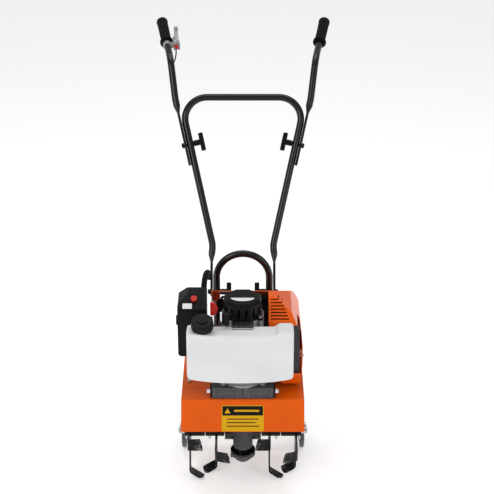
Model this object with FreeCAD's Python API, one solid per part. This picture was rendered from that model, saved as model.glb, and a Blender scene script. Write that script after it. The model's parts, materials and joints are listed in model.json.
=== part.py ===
import FreeCAD, Part
import math
import os

# Front-tine mini tiller with a two-stroke engine on top.  Millimetres, +Z up, the machine
# drives towards -Y and the operator stands at +Y.  Everything is drawn about the point on
# the ground under the tine axle, and moved by ORIGIN_SHIFT when it is written.

V = FreeCAD.Vector
X, Y, Z = V(1, 0, 0), V(0, 1, 0), V(0, 0, 1)
SIDES = (-1, 1)
ORIGIN_SHIFT = V(0, -281.5, 0)

# ---- driving dimensions -------------------------------------------------------------
TUBE_R = 9.5                    # 19 mm handle tube
RUNNING = 0.05                  # radial clearance of a shaft in its bearing
FIT = 0.02                      # radial gap between pieces pressed together

# tine drive
TINE_R = 130.0                  # tip radius, so also the height of the axle
TINE_PLANES = (71.0, 142.0)     # inner and outer star, each side of the centre
TINE_T = 4.0
TINE_REACH = 38.0               # how far a tip is bent sideways
TINE_BEND = 62.0                # degrees
AXLE_R = 10.0
AXLE_END = 172.0
STUB_R = 9.0                    # the axle's free ends, outside the tines
STUB_FROM = 156.5
HUB_R = 16.0
GEAR_TEETH = 22
GEAR_MODULE = 2.0
WORM_PITCH_R = 10.0
WORM_Y = -(GEAR_TEETH * GEAR_MODULE / 2 + WORM_PITCH_R)
GEAR_FACE = 12.0

# gearbox
COLUMN_R = 21.0
BOSS_R = 25.0
BOSS_END = 48.0
FLANGE_Z = (81.0, 91.0)
DOME_Z = 57.0
BEARING_R = 15.0

# deck
SHEET = 2.0
DECK_HALF = 158.0
DECK_Z = 285.0
DECK_REAR = 150.0
GUARD_SEAM = -40.0
GUARD_FOLD = (-100.0, 285.0)
GUARD_EDGE = (-140.0, 215.0)

# engine, stacked up the crank axis at y = WORM_Y
BASE_Z = (DECK_Z + SHEET, 318.0)
CLUTCH_Z = (318.0, 350.0)
CASE_Z = (350.0, 470.0)
FAN_Z = (470.0, 502.0)
STARTER_Z = (502.0, 548.0)
STARTER_ACROSS = 96.0
CYLINDER_Z = 410.0
CYLINDER_Y = (12.0, 118.0)
CRANK_R = 7.5

# tank
TANK_X = (-139.0, 127.0)
TANK_Y = (-150.0, -94.0)
TANK_Z = (374.0, 498.0)

# handles
PIVOT = V(0, 195.0, 447.0)      # lower handle bolts, on the hoop's legs
HANDLE_SLOPE = math.radians(60)
HOOP_X = 71.0
HOOP_TOP = 490.0                # where the hoop's legs end and its arch begins
PRESSED = 7.0                   # thickness of a tube where it is pressed flat
LOWER_X = 85.0                  # pressed ends of the lower handle
FLARE = math.radians(12.6)
FLARE_S = 125.0                 # along the handle from the pivot
FOLD_S = 404.5
CROSSBAR_S = 535.0
CROSSBAR_BEND = 60.0
BEND_S = 641.6
BEND_X = 200.0
GRIP_X = 233.0
GRIP_RUN = 201.0
GRIP_RISE = math.radians(15)
GRIP_LENGTH = 120.0
GRIP_R = 16.0

# transport wheels and drag stake
WHEEL_AT = V(0, 130.0, 60.0)
WHEEL_R = 60.0
WHEEL_X = 163.0
STAKE_Y = 176.0

parts = {}


# ---- helpers ------------------------------------------------------------------------
def box(x0, x1, y0, y1, z0, z1):
    return Part.makeBox(x1 - x0, y1 - y0, z1 - z0, V(x0, y0, z0))


def rod(start, end, radius):
    axis = end - start
    return Part.makeCylinder(radius, axis.Length, start, axis)


def ring(start, end, outer, inner):
    reach = (end - start).normalize()
    return rod(start, end, outer).cut(rod(start - reach, end + reach, inner))


def fuse(shapes):
    whole = shapes[0].multiFuse(shapes[1:]) if len(shapes) > 1 else shapes[0]
    return whole.removeSplitter()


def group(shapes):
    return Part.makeCompound(shapes)


def mirror_x(shape):
    return shape.mirror(V(0, 0, 0), X)


def pair(shape):
    return group([shape, mirror_x(shape)])


def outline(points):
    return Part.Face(Part.makePolygon(list(points) + [points[0]]))


def prism(points, push):
    return outline(points).extrude(push)


def rounded(shape, radius, keep=lambda edge: True):
    return shape.makeFillet(radius, [e for e in shape.Edges if keep(e)])


def along(direction):
    """A test for straight edges that run along a direction."""
    def keep(edge):
        if not isinstance(edge.Curve, Part.Line):
            return False
        return edge.Curve.Direction.cross(direction).Length < 1e-6
    return keep


def pipe_path(points, radii):
    """Straight runs joined by tangent arcs, one radius for each inner point."""
    edges = []
    start = points[0]
    for before, corner, after, radius in zip(points, points[1:], points[2:], radii):
        back = (before - corner).normalize()
        ahead = (after - corner).normalize()
        half = back.getAngle(ahead) / 2
        cut = radius / math.tan(half)
        enter = corner + back * cut
        leave = corner + ahead * cut
        middle_way = (back + ahead).normalize()
        middle = corner + middle_way * (radius / math.sin(half) - radius)
        edges.append(Part.LineSegment(start, enter).toShape())
        edges.append(Part.Arc(enter, middle, leave).toShape())
        start = leave
    edges.append(Part.LineSegment(start, points[-1]).toShape())
    return Part.Wire(edges)


def pipe(points, radii, radius):
    path = pipe_path(points, radii)
    section = Part.Wire(Part.makeCircle(radius, points[0], points[1] - points[0]))
    return path.makePipeShell([section], True, False)


def hexagon(across, z0, height, centre=V(0, 0, 0)):
    corner = across / 2 / math.cos(math.pi / 6)
    points = [V(centre.x + corner * math.cos(k * math.pi / 3),
                centre.y + corner * math.sin(k * math.pi / 3), z0) for k in range(6)]
    return prism(points, Z * height)


def stand(shape, place, axis):
    """Moves a shape drawn about +Z at the origin to a place and direction."""
    turn = FreeCAD.Rotation(Z, axis)
    moved = shape.copy()
    moved.Placement = FreeCAD.Placement(place, turn).multiply(moved.Placement)
    return moved


def bolt(place, axis, shank_r, shank, across, head):
    """A hexagon bolt whose head sits on the place and whose shank runs against the axis."""
    body = fuse([hexagon(across, 0, head), rod(V(0, 0, 0.01), V(0, 0, -shank), shank_r)])
    return stand(body, place, axis)


# ---- tine drive ---------------------------------------------------------------------
AXLE = V(0, 0, TINE_R)
TINE_LEAN = 8.0                 # a blade's tip trails its root by this many degrees
TINE_WIDTH = 32.0


def tine_blade(side):
    """A flat bar hanging from the axle, its tip bent sideways, cut to a sickle shape."""
    bend = math.radians(TINE_BEND)
    corner = V(0, 0, -(TINE_R - 18.0))
    tip = corner + V(math.sin(bend), 0, -math.cos(bend)) * (TINE_REACH / math.sin(bend))
    root = V(0, 0, -10.0)
    path = pipe_path([root, corner, tip], [10.0])
    flat = Part.Wire(Part.makePolygon([V(-TINE_T / 2, -40, -10), V(TINE_T / 2, -40, -10),
                                       V(TINE_T / 2, 40, -10), V(-TINE_T / 2, 40, -10),
                                       V(-TINE_T / 2, -40, -10)]))
    strip = path.makePipeShell([flat], True, False)
    lead = Part.Arc(V(0, 13, -8), V(0, 18, -70), V(0, -1, -134)).toShape()
    toe = Part.LineSegment(V(0, -1, -134), V(0, -1 - TINE_WIDTH, -131)).toShape()
    trail = Part.Arc(V(0, -1 - TINE_WIDTH, -131), V(0, -12, -68), V(0, -13, -8)).toShape()
    close = Part.LineSegment(V(0, -13, -8), V(0, 13, -8)).toShape()
    sickle = Part.Face(Part.Wire([lead, toe, trail, close]))
    sickle.translate(V(-60, 0, 0))
    blade = strip.common(sickle.extrude(V(120, 0, 0)))
    blade = blade.common(Part.makeCylinder(TINE_R, 160, V(-80, 0, 0), X))
    return blade if side > 0 else mirror_x(blade)


def tine_star(plane, phase, bends, collar):
    """Four blades welded to a collar; phase is how far the lowest one reaches forwards."""
    solids = [ring(V(collar[0], 0, 0), V(collar[1], 0, 0), HUB_R, AXLE_R + FIT),
              ring(V(plane - 3, 0, 0), V(plane + 3, 0, 0), 30.0, AXLE_R + FIT)]
    for quarter, bend in enumerate(bends):
        blade = tine_blade(bend)
        blade.translate(V(plane, 0, 0))
        blade.rotate(V(0, 0, 0), X, TINE_LEAN - phase + 90.0 * quarter)
        solids.append(blade)
    star = fuse(solids).cut(rod(V(collar[0] - 1, 0, 0), V(collar[1] + 1, 0, 0), AXLE_R + FIT))
    star.translate(AXLE)
    return star


PIN_X = (90.0, 151.4)
PIN_R = 3.0
pin_holes = [rod(V(side * x, 0, TINE_R - 30), V(side * x, 0, TINE_R + 30), PIN_R + FIT)
             for side in SIDES for x in PIN_X]
inner, outer = TINE_PLANES
stars = {
    "tines_left": [tine_star(-outer, 17.0, (1, 1, 1, 1), (-156, -102)),
                   tine_star(-inner, 0.0, (-1, 1, -1, 1), (-100, -50))],
    "tines_right": [tine_star(inner, 17.0, (1, -1, 1, -1), (50, 100)),
                    tine_star(outer, 0.0, (-1, -1, -1, -1), (102, 156))],
}
for name, both in stars.items():
    parts[name] = group([star.cut(group(pin_holes)) for star in both])

axle = fuse([rod(AXLE - X * STUB_FROM, AXLE + X * STUB_FROM, AXLE_R),
             rod(AXLE - X * AXLE_END, AXLE + X * AXLE_END, STUB_R)])
parts["tine_axle"] = axle.cut(group(pin_holes))


def clevis_pin(x):
    """A headed pin through collar and axle with its spring clip."""
    place = V(x, 0, TINE_R)
    shank = rod(place - Z * 26, place + Z * 18, PIN_R)
    head = rod(place + Z * 18, place + Z * 21, PIN_R + 2.5)
    clip = Part.makeTorus(6.0, 1.0, place - Z * 24.0 + Y * 4.0, X)
    return fuse([shank, head, clip])


parts["tine_pins"] = group([clevis_pin(side * x) for side in SIDES for x in PIN_X])


# ---- worm and wheel -----------------------------------------------------------------
TOOTH_FILL = 0.36               # share of the circular pitch that a tooth takes
LEAD = math.pi * GEAR_MODULE
LEAD_ANGLE = math.atan(LEAD / (2 * math.pi * WORM_PITCH_R))
WORM_SPAN = (112.0, 148.0)


def gear_outline(x, turn):
    """Trapezoid teeth round the wheel, as a closed wire at one face of the gear."""
    pitch_r = GEAR_TEETH * GEAR_MODULE / 2
    step = 2 * math.pi / GEAR_TEETH
    corners = ((pitch_r - 2.3, 0.34), (pitch_r + 1.8, 0.11))
    points = []
    for tooth in range(GEAR_TEETH):
        for radius, part, sign in ((corners[0][0], corners[0][1], -1),
                                   (corners[1][0], corners[1][1], -1),
                                   (corners[1][0], corners[1][1], 1),
                                   (corners[0][0], corners[0][1], 1)):
            angle = step * (tooth + sign * part * TOOTH_FILL * 2) + turn
            points.append(V(x, radius * math.cos(angle), radius * math.sin(angle)))
    return Part.Wire(Part.makePolygon(points + [points[0]]))


def worm_wheel():
    twist = GEAR_FACE * math.tan(LEAD_ANGLE) / (GEAR_TEETH * GEAR_MODULE / 2)
    blank = Part.makeLoft([gear_outline(-GEAR_FACE / 2, -twist / 2),
                           gear_outline(GEAR_FACE / 2, twist / 2)], True, True)
    hub = rod(V(-15, 0, 0), V(15, 0, 0), HUB_R - 1)
    wheel = fuse([blank, hub]).cut(rod(V(-20, 0, 0), V(20, 0, 0), AXLE_R + FIT))
    wheel.translate(AXLE)
    return wheel


def worm_thread():
    """One start, a trapezoid section swept along a helix round the shaft."""
    low, high = WORM_SPAN
    root_r = WORM_PITCH_R - 2.4
    top_r = WORM_PITCH_R + 1.9
    half_root = LEAD * 0.22
    half_top = LEAD * 0.08
    helix = Part.makeHelix(LEAD, high - low, root_r)
    section = Part.Wire(Part.makePolygon([V(root_r - 0.4, 0, -half_root), V(top_r, 0, -half_top),
                                          V(top_r, 0, half_top), V(root_r - 0.4, 0, half_root),
                                          V(root_r - 0.4, 0, -half_root)]))
    thread = Part.Wire(helix.Edges).makePipeShell([section], True, True)
    thread.translate(V(0, 0, low))
    return thread


WORM_PHASE = 315.0              # turns the thread so that a gap faces each tooth
parts["worm_wheel"] = worm_wheel()
shaft_base = V(0, 0, 95.0)
shaft_core = fuse([rod(shaft_base, V(0, 0, 324), CRANK_R),
                   rod(V(0, 0, 106), V(0, 0, 154), WORM_PITCH_R - 2.4)])
worm = fuse([shaft_core, worm_thread()])
worm.rotate(V(0, 0, 0), Z, WORM_PHASE)
worm.translate(V(0, WORM_Y, 0))
parts["worm_shaft"] = worm


# ---- gearbox ------------------------------------------------------------------------
CRANK_LINE = V(0, WORM_Y, 0)
COVER_BOLTS = [V(26 * math.cos(a), WORM_Y + 26 * math.sin(a), 0)
               for a in (math.radians(45 + 90 * k) for k in range(4))]


def at(z, y=WORM_Y, x=0.0):
    return V(x, y, z)


def gearbox_housing():
    """Column for the worm, drum for the wheel, and a boss each side for the axle."""
    drum_r = GEAR_TEETH * GEAR_MODULE / 2 + 9
    column = rod(at(86), at(DECK_Z), COLUMN_R)
    foot = rod(at(86), at(91.5), 33.0)
    head = rod(at(DECK_Z - 9), at(DECK_Z), 42.0)
    drum = rod(AXLE - X * 16, AXLE + X * 16, drum_r)
    bosses = rod(AXLE - X * BOSS_END, AXLE + X * BOSS_END, BOSS_R)
    ribs = [prism([V(-2.5, WORM_Y, 175), V(-2.5, drum_r - 3, TINE_R + 8),
                   V(-2.5, WORM_Y, 240)], X * 5)]
    for side in SIDES:
        ribs.append(prism([V(side * 2, WORM_Y - 2.5, 215), V(side * 40, WORM_Y - 2.5, DECK_Z - 9),
                           V(side * 2, WORM_Y - 2.5, DECK_Z - 9)], Y * 5))
    outside = fuse([column, foot, head, drum, bosses] + ribs)
    inside = group([
        rod(at(80), at(162), 13.5),
        rod(at(160), at(DECK_Z + 1), CRANK_R + 1.5),
        rod(at(160), at(172), BEARING_R - 1 + FIT),
        rod(AXLE - X * 15.5, AXLE + X * 15.5, drum_r - 5),
        rod(AXLE - X * (BOSS_END + 1), AXLE + X * (BOSS_END + 1), BEARING_R + 5 + FIT),
    ])
    for cavity in inside.Solids:
        outside = outside.cut(cavity)
    return outside.cut(group([rod(p + Z * 80, p + Z * 95, 2.5) for p in COVER_BOLTS]))


def bottom_cap():
    """Domed cap under the worm with a round flange and a drain boss."""
    wall = [V(0, 0, DOME_Z), V(12, 0, DOME_Z), V(22, 0, 66), V(24, 0, 76), V(33, 0, 78),
            V(33, 0, 86), V(14, 0, 86), V(14, 0, 74), V(0, 0, 74)]
    cap = outline(wall).revolve(V(0, 0, 0), Z, 360)
    cap.translate(CRANK_LINE)
    plug = rod(V(-33, WORM_Y, 70), V(-10, WORM_Y, 70), 5.0)
    cap = fuse([cap, plug])
    cap = cap.cut(group([rod(p + Z * 60, p + Z * 77.9, 5.4) for p in COVER_BOLTS]))
    return cap.cut(group([rod(p + Z * 60, p + Z * 90, 2.5) for p in COVER_BOLTS]))


parts["gearbox_housing"] = gearbox_housing()
parts["gearbox_bottom_cap"] = bottom_cap()
gearbox_bolts = [bolt(p + Z * 77.9, -Z, 2.4, 12.5, 8.0, 4.0) for p in COVER_BOLTS]
axle_bearings = pair(ring(V(18, 0, TINE_R), V(30, 0, TINE_R), BEARING_R + 5, AXLE_R + RUNNING))
parts["axle_seals"] = pair(ring(V(38, 0, TINE_R), V(47, 0, TINE_R), BEARING_R + 5,
                                AXLE_R + RUNNING))
worm_bearings = group([
    ring(at(95.5), at(105), 13.5 - FIT, CRANK_R + RUNNING),
    ring(at(160.5), at(171), BEARING_R - 1, CRANK_R + RUNNING)])


# ---- deck and guard -----------------------------------------------------------------
def deck_top():
    """Folded sheet with a down-turned lip on both sides and at the back."""
    top = box(-DECK_HALF, DECK_HALF, GUARD_SEAM, DECK_REAR, DECK_Z, DECK_Z + SHEET)
    rear = box(-DECK_HALF, DECK_HALF, DECK_REAR - SHEET, DECK_REAR, DECK_Z - 26, DECK_Z + 0.5)
    lips = pair(box(DECK_HALF - SHEET, DECK_HALF, GUARD_SEAM, DECK_REAR, DECK_Z - 30,
                    DECK_Z + 0.5))
    deck = fuse([top, rear] + lips.Solids)
    corners = [e for e in deck.Edges if along(Z)(e) and e.Length > 20
               and abs(e.Vertexes[0].X) > DECK_HALF - 0.1 and e.Vertexes[0].Y > DECK_REAR - 0.1]
    deck = deck.makeFillet(6.0, corners)
    openings = [rod(at(DECK_Z - 5), at(DECK_Z + 5), CRANK_R + 5)]
    openings += [rod(V(s * 141.5, -12, DECK_Z - 5), V(s * 141.5, -12, DECK_Z + 5), 3.1)
                 for s in SIDES]
    openings += [rod(V(s * 118, y, DECK_Z - 5), V(s * 118, y, DECK_Z + 5), 7.0)
                 for s in SIDES for y in (30, 120)]
    return deck.cut(group(openings))


GUARD_DOWN = (V(0, *GUARD_EDGE) - V(0, *GUARD_FOLD)).normalize()
GUARD_OUT = V(0, GUARD_DOWN.z, -GUARD_DOWN.y)


def front_guard():
    """Sheet that runs forward from the deck, folds down over the tines and laps the deck."""
    fold = V(0, *GUARD_FOLD)
    edge = V(0, *GUARD_EDGE)
    top_z = DECK_Z + SHEET
    crease = fold + GUARD_OUT * SHEET + V(0, 0.57, 1.0)
    profile = [V(0, GUARD_SEAM - 0.3, DECK_Z), fold, edge, edge + GUARD_OUT * SHEET,
               V(0, crease.y, top_z), V(0, GUARD_SEAM - 0.3, top_z)]
    sheet = prism(profile, X * (2 * DECK_HALF))
    sheet.translate(V(-DECK_HALF, 0, 0))
    lap = box(-DECK_HALF + 8, DECK_HALF - 8, GUARD_SEAM - 22, 6, DECK_Z - SHEET, DECK_Z)
    gusset = prism([V(0, -62, DECK_Z + 0.3), fold + V(0, 0, 0.3), edge, edge + V(0, 14, 0),
                    V(0, -62, DECK_Z - 28)], X * SHEET)
    gusset.translate(V(DECK_HALF - SHEET, 0, 0))
    guard = fuse([sheet, lap, gusset, mirror_x(gusset)])
    creases = [e for e in guard.Edges if along(X)(e)
               and abs(e.Vertexes[0].Z - top_z) < 0.01 and e.Vertexes[0].Y < -90]
    guard = guard.makeFillet(5.0, creases)
    hole = rod(at(DECK_Z - 5), at(DECK_Z + 1), 43.0)
    screws = [rod(V(s * 141.5, -12, DECK_Z - 5), V(s * 141.5, -12, DECK_Z + 1), 3.1)
              for s in SIDES]
    return guard.cut(group([hole] + screws))


def engine_base():
    """Cast block between deck and clutch housing, in two halves by its front groove."""
    low, high = BASE_Z
    block = rounded(box(-80, 80, -96, 62, low, high), 6.0, along(Z))
    pockets = [box(s * 44 - 24, s * 44 + 24, -97, -90, low + 7, high - 7) for s in SIDES]
    groove = box(-0.8, 0.8, -97, -93, low - 1, high + 1)
    shaft = rod(at(low - 1), at(high + 1), CRANK_R + 4)
    return block.cut(group(pockets + [groove, shaft]))


parts["deck_top"] = deck_top()
parts["front_guard"] = front_guard()
parts["engine_base"] = engine_base()
deck_bolts = (
    [bolt(V(s * 141.5, -12, DECK_Z + SHEET), Z, 3.0, 9.0, 10.0, 4.5) for s in SIDES]
    + [bolt(V(s * 80.02, -86, 304), X * s, 3.0, 8.0, 10.0, 12.0) for s in SIDES])
base_holes = pair(rod(V(70, -86, 304), V(90, -86, 304), 3.0 + RUNNING))
parts["engine_base"] = parts["engine_base"].cut(base_holes)


# ---- engine -------------------------------------------------------------------------
def revolved(profile, centre=CRANK_LINE):
    """Turns an outline of (radius, height) points about a vertical line."""
    solid = outline([V(r, 0, z) for r, z in profile]).revolve(V(0, 0, 0), Z, 360)
    solid.translate(centre)
    return solid


DRUM_R = 41.0
CASE_R = 48.0
FLYWHEEL_R = 46.0
FAN_R = 54.0


def clutch_housing():
    low, high = CLUTCH_Z
    bell = revolved([(DRUM_R + 3, low), (65, low), (65, low + 6), (61, low + 9), (57, high),
                     (CRANK_R + 0.4, high), (CRANK_R + 0.4, high - 4), (DRUM_R + 3, high - 4)])
    ears = [rod(at(low, WORM_Y + dy, dx), at(low + 9, WORM_Y + dy, dx), 9.0)
            for dx, dy in ((-50, -46), (50, -46), (-50, 46), (50, 46))]
    return fuse([bell] + ears).cut(rod(at(low - 1), at(high - 4), DRUM_R + 3))


def clutch_drum():
    return revolved([(CRANK_R + FIT, 319), (12, 319), (12, 322), (DRUM_R, 322), (DRUM_R, 343),
                     (DRUM_R - 2.5, 343), (DRUM_R - 2.5, 325), (CRANK_R + FIT, 325)])


def clutch_shoes():
    """Carrier on the crank with two spring-held shoes."""
    carrier = ring(at(328), at(340), 13.0, CRANK_R + FIT)
    bar = box(-30, 30, WORM_Y - 6, WORM_Y + 6, 330, 338).cut(rod(at(327), at(341), 13.0 + FIT))
    arcs = ring(at(328), at(341), DRUM_R - 4, 20.0).cut(box(-50, 50, WORM_Y - 6.1, WORM_Y + 6.1,
                                                           320, 350))
    return group([carrier] + bar.Solids + arcs.Solids)


def crankshaft():
    shaft = rod(at(328), at(514), CRANK_R)
    webs = [rod(at(z), at(z + 8), 30.0) for z in (396, 416)]
    pin = rod(at(403, WORM_Y - 15), at(417, WORM_Y - 15), 5.0)
    waist = box(-35, 35, WORM_Y - 35, WORM_Y + 35, 404, 416)
    crank = fuse([shaft.cut(waist)] + webs + [pin])
    scallop = rod(at(390, WORM_Y - 38), at(430, WORM_Y - 38), 12.0)
    return crank.cut(scallop)


def crankcase():
    """Two castings joined on the crank's middle plane, with the seat for the cylinder."""
    low, high = CASE_Z
    barrel = rod(at(low), at(high), CASE_R)
    seat = rounded(box(-40, 40, WORM_Y, CYLINDER_Y[0], CYLINDER_Z - 42, CYLINDER_Z + 42), 6.0,
                   along(Y))
    joint = rod(at(CYLINDER_Z - 4), at(CYLINDER_Z + 4), CASE_R + 4)
    feet = [box(s * 46 - 12, s * 46 + 12, WORM_Y - 50, WORM_Y - 26, low, low + 14) for s in SIDES]
    ribs = [box(-2, 2, WORM_Y - CASE_R - 8, WORM_Y, low, high),
            box(-CASE_R - 6, CASE_R + 6, WORM_Y - 2, WORM_Y + 2, low, high)]
    case = fuse([barrel, seat, joint] + feet + ribs)
    case = case.cut(box(-60, 60, CYLINDER_Y[0], 60, low - 1, high + 1))
    case = case.cut(rod(at(CYLINDER_Z - 20), at(CYLINDER_Z + 20), 34.0))
    case = case.cut(rod(at(low - 1), at(high + 1), CRANK_R + 2))
    for z0, z1 in ((low + 2, low + 12), (high - 12, high - 2)):
        case = case.cut(rod(at(z0), at(z1), 16.0 + FIT))
    return case


def cylinder():
    """Barrel lying towards the back, its cooling fins cut square with round corners."""
    front, back = CYLINDER_Y
    axis_at = V(0, 0, CYLINDER_Z)
    barrel = rod(axis_at + Y * (front + 0.02), axis_at + Y * back, 31.0)
    flange = box(-36, 36, front + 0.02, front + 7, CYLINDER_Z - 34, CYLINDER_Z + 34)
    fins = []
    for count in range(10):
        y = 30.0 + 9.0 * count
        half = 47.0 if count > 2 else 42.0
        fin = box(-half, half, y, y + 2.4, CYLINDER_Z - half, CYLINDER_Z + half)
        fins.append(rounded(fin, 12.0, along(Y)))
    ports = [box(-58, -20, 38, 66, CYLINDER_Z - 14, CYLINDER_Z + 14),
             box(20, 62, 44, 84, CYLINDER_Z - 16, CYLINDER_Z + 16)]
    return fuse([barrel, flange] + fins + ports)


PLUG_Y = CYLINDER_Y[1]


def spark_plug():
    base = V(0, PLUG_Y, CYLINDER_Z)
    shell = stand(fuse([hexagon(19, 0, 9), rod(V(0, 0, 8), V(0, 0, 14), 7.5),
                        rod(V(0, 0, 13), V(0, 0, 24), 4.5)]), base + Y * 0.02, Y)
    return shell


LEAD_ROUTE = [V(-14, 138, 426), V(-34, 136, 452), V(-52, 118, 472), V(-56, 86, 484),
              V(-55, 57, 486)]


def plug_boot():
    base = V(0, PLUG_Y, CYLINDER_Z)
    cup = ring(base + Y * 15, base + Y * 34, 9.5, 7.6 + FIT)
    cup = rod(base + Y * 15, base + Y * 36, 9.5).cut(rod(base + Y * 14, base + Y * 25, 5.0))
    elbow = rod(base + Y * 28 + V(0, 0, 0), LEAD_ROUTE[0], 6.0)
    return fuse([cup, elbow]).cut(rod(base + Y * 14, base + Y * 25, 5.0))


def flywheel():
    """Disc with fan blades on its upper face."""
    disc = ring(at(476), at(484), FLYWHEEL_R, CRANK_R + FIT)
    hub = ring(at(476), at(498), 16.0, CRANK_R + FIT)
    blades = []
    for k in range(14):
        blade = box(20, FLYWHEEL_R - 1, -1.2, 1.2, 483, 496)
        blade.rotate(V(20, 0, 0), Z, 25)
        blade.rotate(V(0, 0, 0), Z, 360 / 14 * k)
        blade.translate(CRANK_LINE)
        blades.append(blade.common(rod(at(480), at(498), FLYWHEEL_R)))
    return fuse([disc, hub] + blades)


def fan_housing():
    low, high = FAN_Z
    bowl = revolved([(CRANK_R + 1.5, low), (FAN_R, low), (FAN_R, high), (FAN_R - 4, high),
                     (FAN_R - 4, low + 3), (CRANK_R + 1.5, low + 3)])
    outlet = box(-20, 20, WORM_Y + 40, WORM_Y + 60, low + 5, high - 6)
    tabs = [rod(at(low, WORM_Y + dy, dx), at(high, WORM_Y + dy, dx), 6.0)
            for dx, dy in STARTER_EARS]
    bowl = fuse([bowl] + tabs)
    bowl = bowl.cut(rod(at(low + 3), at(high + 1), FAN_R - 4))
    bowl = bowl.cut(group([rod(at(high - 9, WORM_Y + dy, dx), at(high + 1, WORM_Y + dy, dx), 2.6)
                           for dx, dy in STARTER_EARS]))
    return bowl.cut(outlet)


def octagon(across, z0, z1):
    corner = across / 2 / math.cos(math.pi / 8)
    points = [V(corner * math.cos(math.radians(22.5 + 45 * k)),
                WORM_Y + corner * math.sin(math.radians(22.5 + 45 * k)), z0) for k in range(8)]
    return prism(points, Z * (z1 - z0))


HANDLE_WAY = V(-0.50, -0.866, 0).normalize()
HANDLE_OUT = 84.0               # handle's distance from the crank axis
HANDLE_Z = 521.0


STARTER_EARS = ((-44, -36), (44, -36), (-44, 36), (44, 36))


def starter_cover():
    """Eight-sided cap with a domed top, air slots round it and the rope's outlet."""
    low, high = STARTER_Z
    cap = octagon(STARTER_ACROSS, low, high)
    cap = cap.makeChamfer(7.0, [e for e in cap.Edges if e.BoundBox.ZMin > high - 0.1])
    cap = rounded(cap, 4.0, lambda e: along(Z)(e))
    cap = cap.cut(rod(at(low - 1), at(high - 6), STARTER_ACROSS / 2 - 5))
    slots = []
    for k in range(16):
        slot = box(30, 70, -3.0, 3.0, low + 9, high - 14)
        slot.rotate(V(0, 0, 0), Z, 22.5 * k + 11.25)
        slot.translate(CRANK_LINE)
        slots.append(slot)
    nozzle = rod(at(HANDLE_Z) + HANDLE_WAY * 40, at(HANDLE_Z) + HANDLE_WAY * 68, 8.0)
    ears = [rod(at(low, WORM_Y + dy, dx), at(low + 5, WORM_Y + dy, dx), 7.0)
            for dx, dy in STARTER_EARS]
    cap = fuse([cap.cut(group(slots)), nozzle] + ears)
    cap = cap.cut(rod(at(low - 1), at(high - 12), STARTER_ACROSS / 2 - 5))
    holes = [rod(at(low - 1, WORM_Y + dy, dx), at(low + 6, WORM_Y + dy, dx), 2.6)
             for dx, dy in STARTER_EARS]
    return cap.cut(group(holes + [rod(at(HANDLE_Z), at(HANDLE_Z) + HANDLE_WAY * 90, 3.0)]))


def starter_pulley():
    return revolved([(9.0, 508), (30, 508), (34, 514), (34, 516), (28, 518), (28, 524), (34, 526),
                     (34, 528), (20, 530), (9.0, 530)])


def starter_handle():
    """Moulded grip with its rope stub."""
    foot = at(HANDLE_Z) + HANDLE_WAY * HANDLE_OUT
    grip = rounded(rod(foot - Z * 13, foot + Z * 17, 9.0), 3.0)
    nose = rod(foot - HANDLE_WAY * 11.5, foot, 6.0)
    rope = rod(foot - HANDLE_WAY * 48, foot, 2.0)
    return fuse([grip, nose, rope])


parts["clutch_housing"] = clutch_housing()
parts["clutch_drum"] = clutch_drum()
parts["clutch_shoes"] = clutch_shoes()
parts["crankshaft"] = crankshaft()
parts["crankcase"] = crankcase()
crank_bearings = group([
    ring(at(z), at(z + 10), 16.0, CRANK_R + RUNNING) for z in (CASE_Z[0] + 2, CASE_Z[1] - 12)])
parts["ball_bearings"] = group(axle_bearings.Solids + worm_bearings.Solids
                               + crank_bearings.Solids)
parts["cylinder"] = cylinder()
parts["spark_plug"] = spark_plug()
parts["flywheel"] = flywheel()
parts["fan_housing"] = fan_housing()
parts["starter_cover"] = starter_cover()
parts["starter_pulley"] = starter_pulley()
starter_screws = [bolt(at(STARTER_Z[0] + 5.02, WORM_Y + dy, dx), Z, 2.4, 12.0, 8.0, 4.0)
                  for dx, dy in STARTER_EARS]
parts["starter_handle"] = starter_handle()
parts["ignition_coil"] = rounded(box(-66, -46, 26, 56, 474, 496), 3.0, along(Z))


# ---- fuel tank ----------------------------------------------------------------------
CAP_AT = V(-100.0, -120.0, 506.0)
CAP_AXIS = V(0, -math.sin(math.radians(18)), math.cos(math.radians(18)))
CAP_R = 28.0


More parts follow.
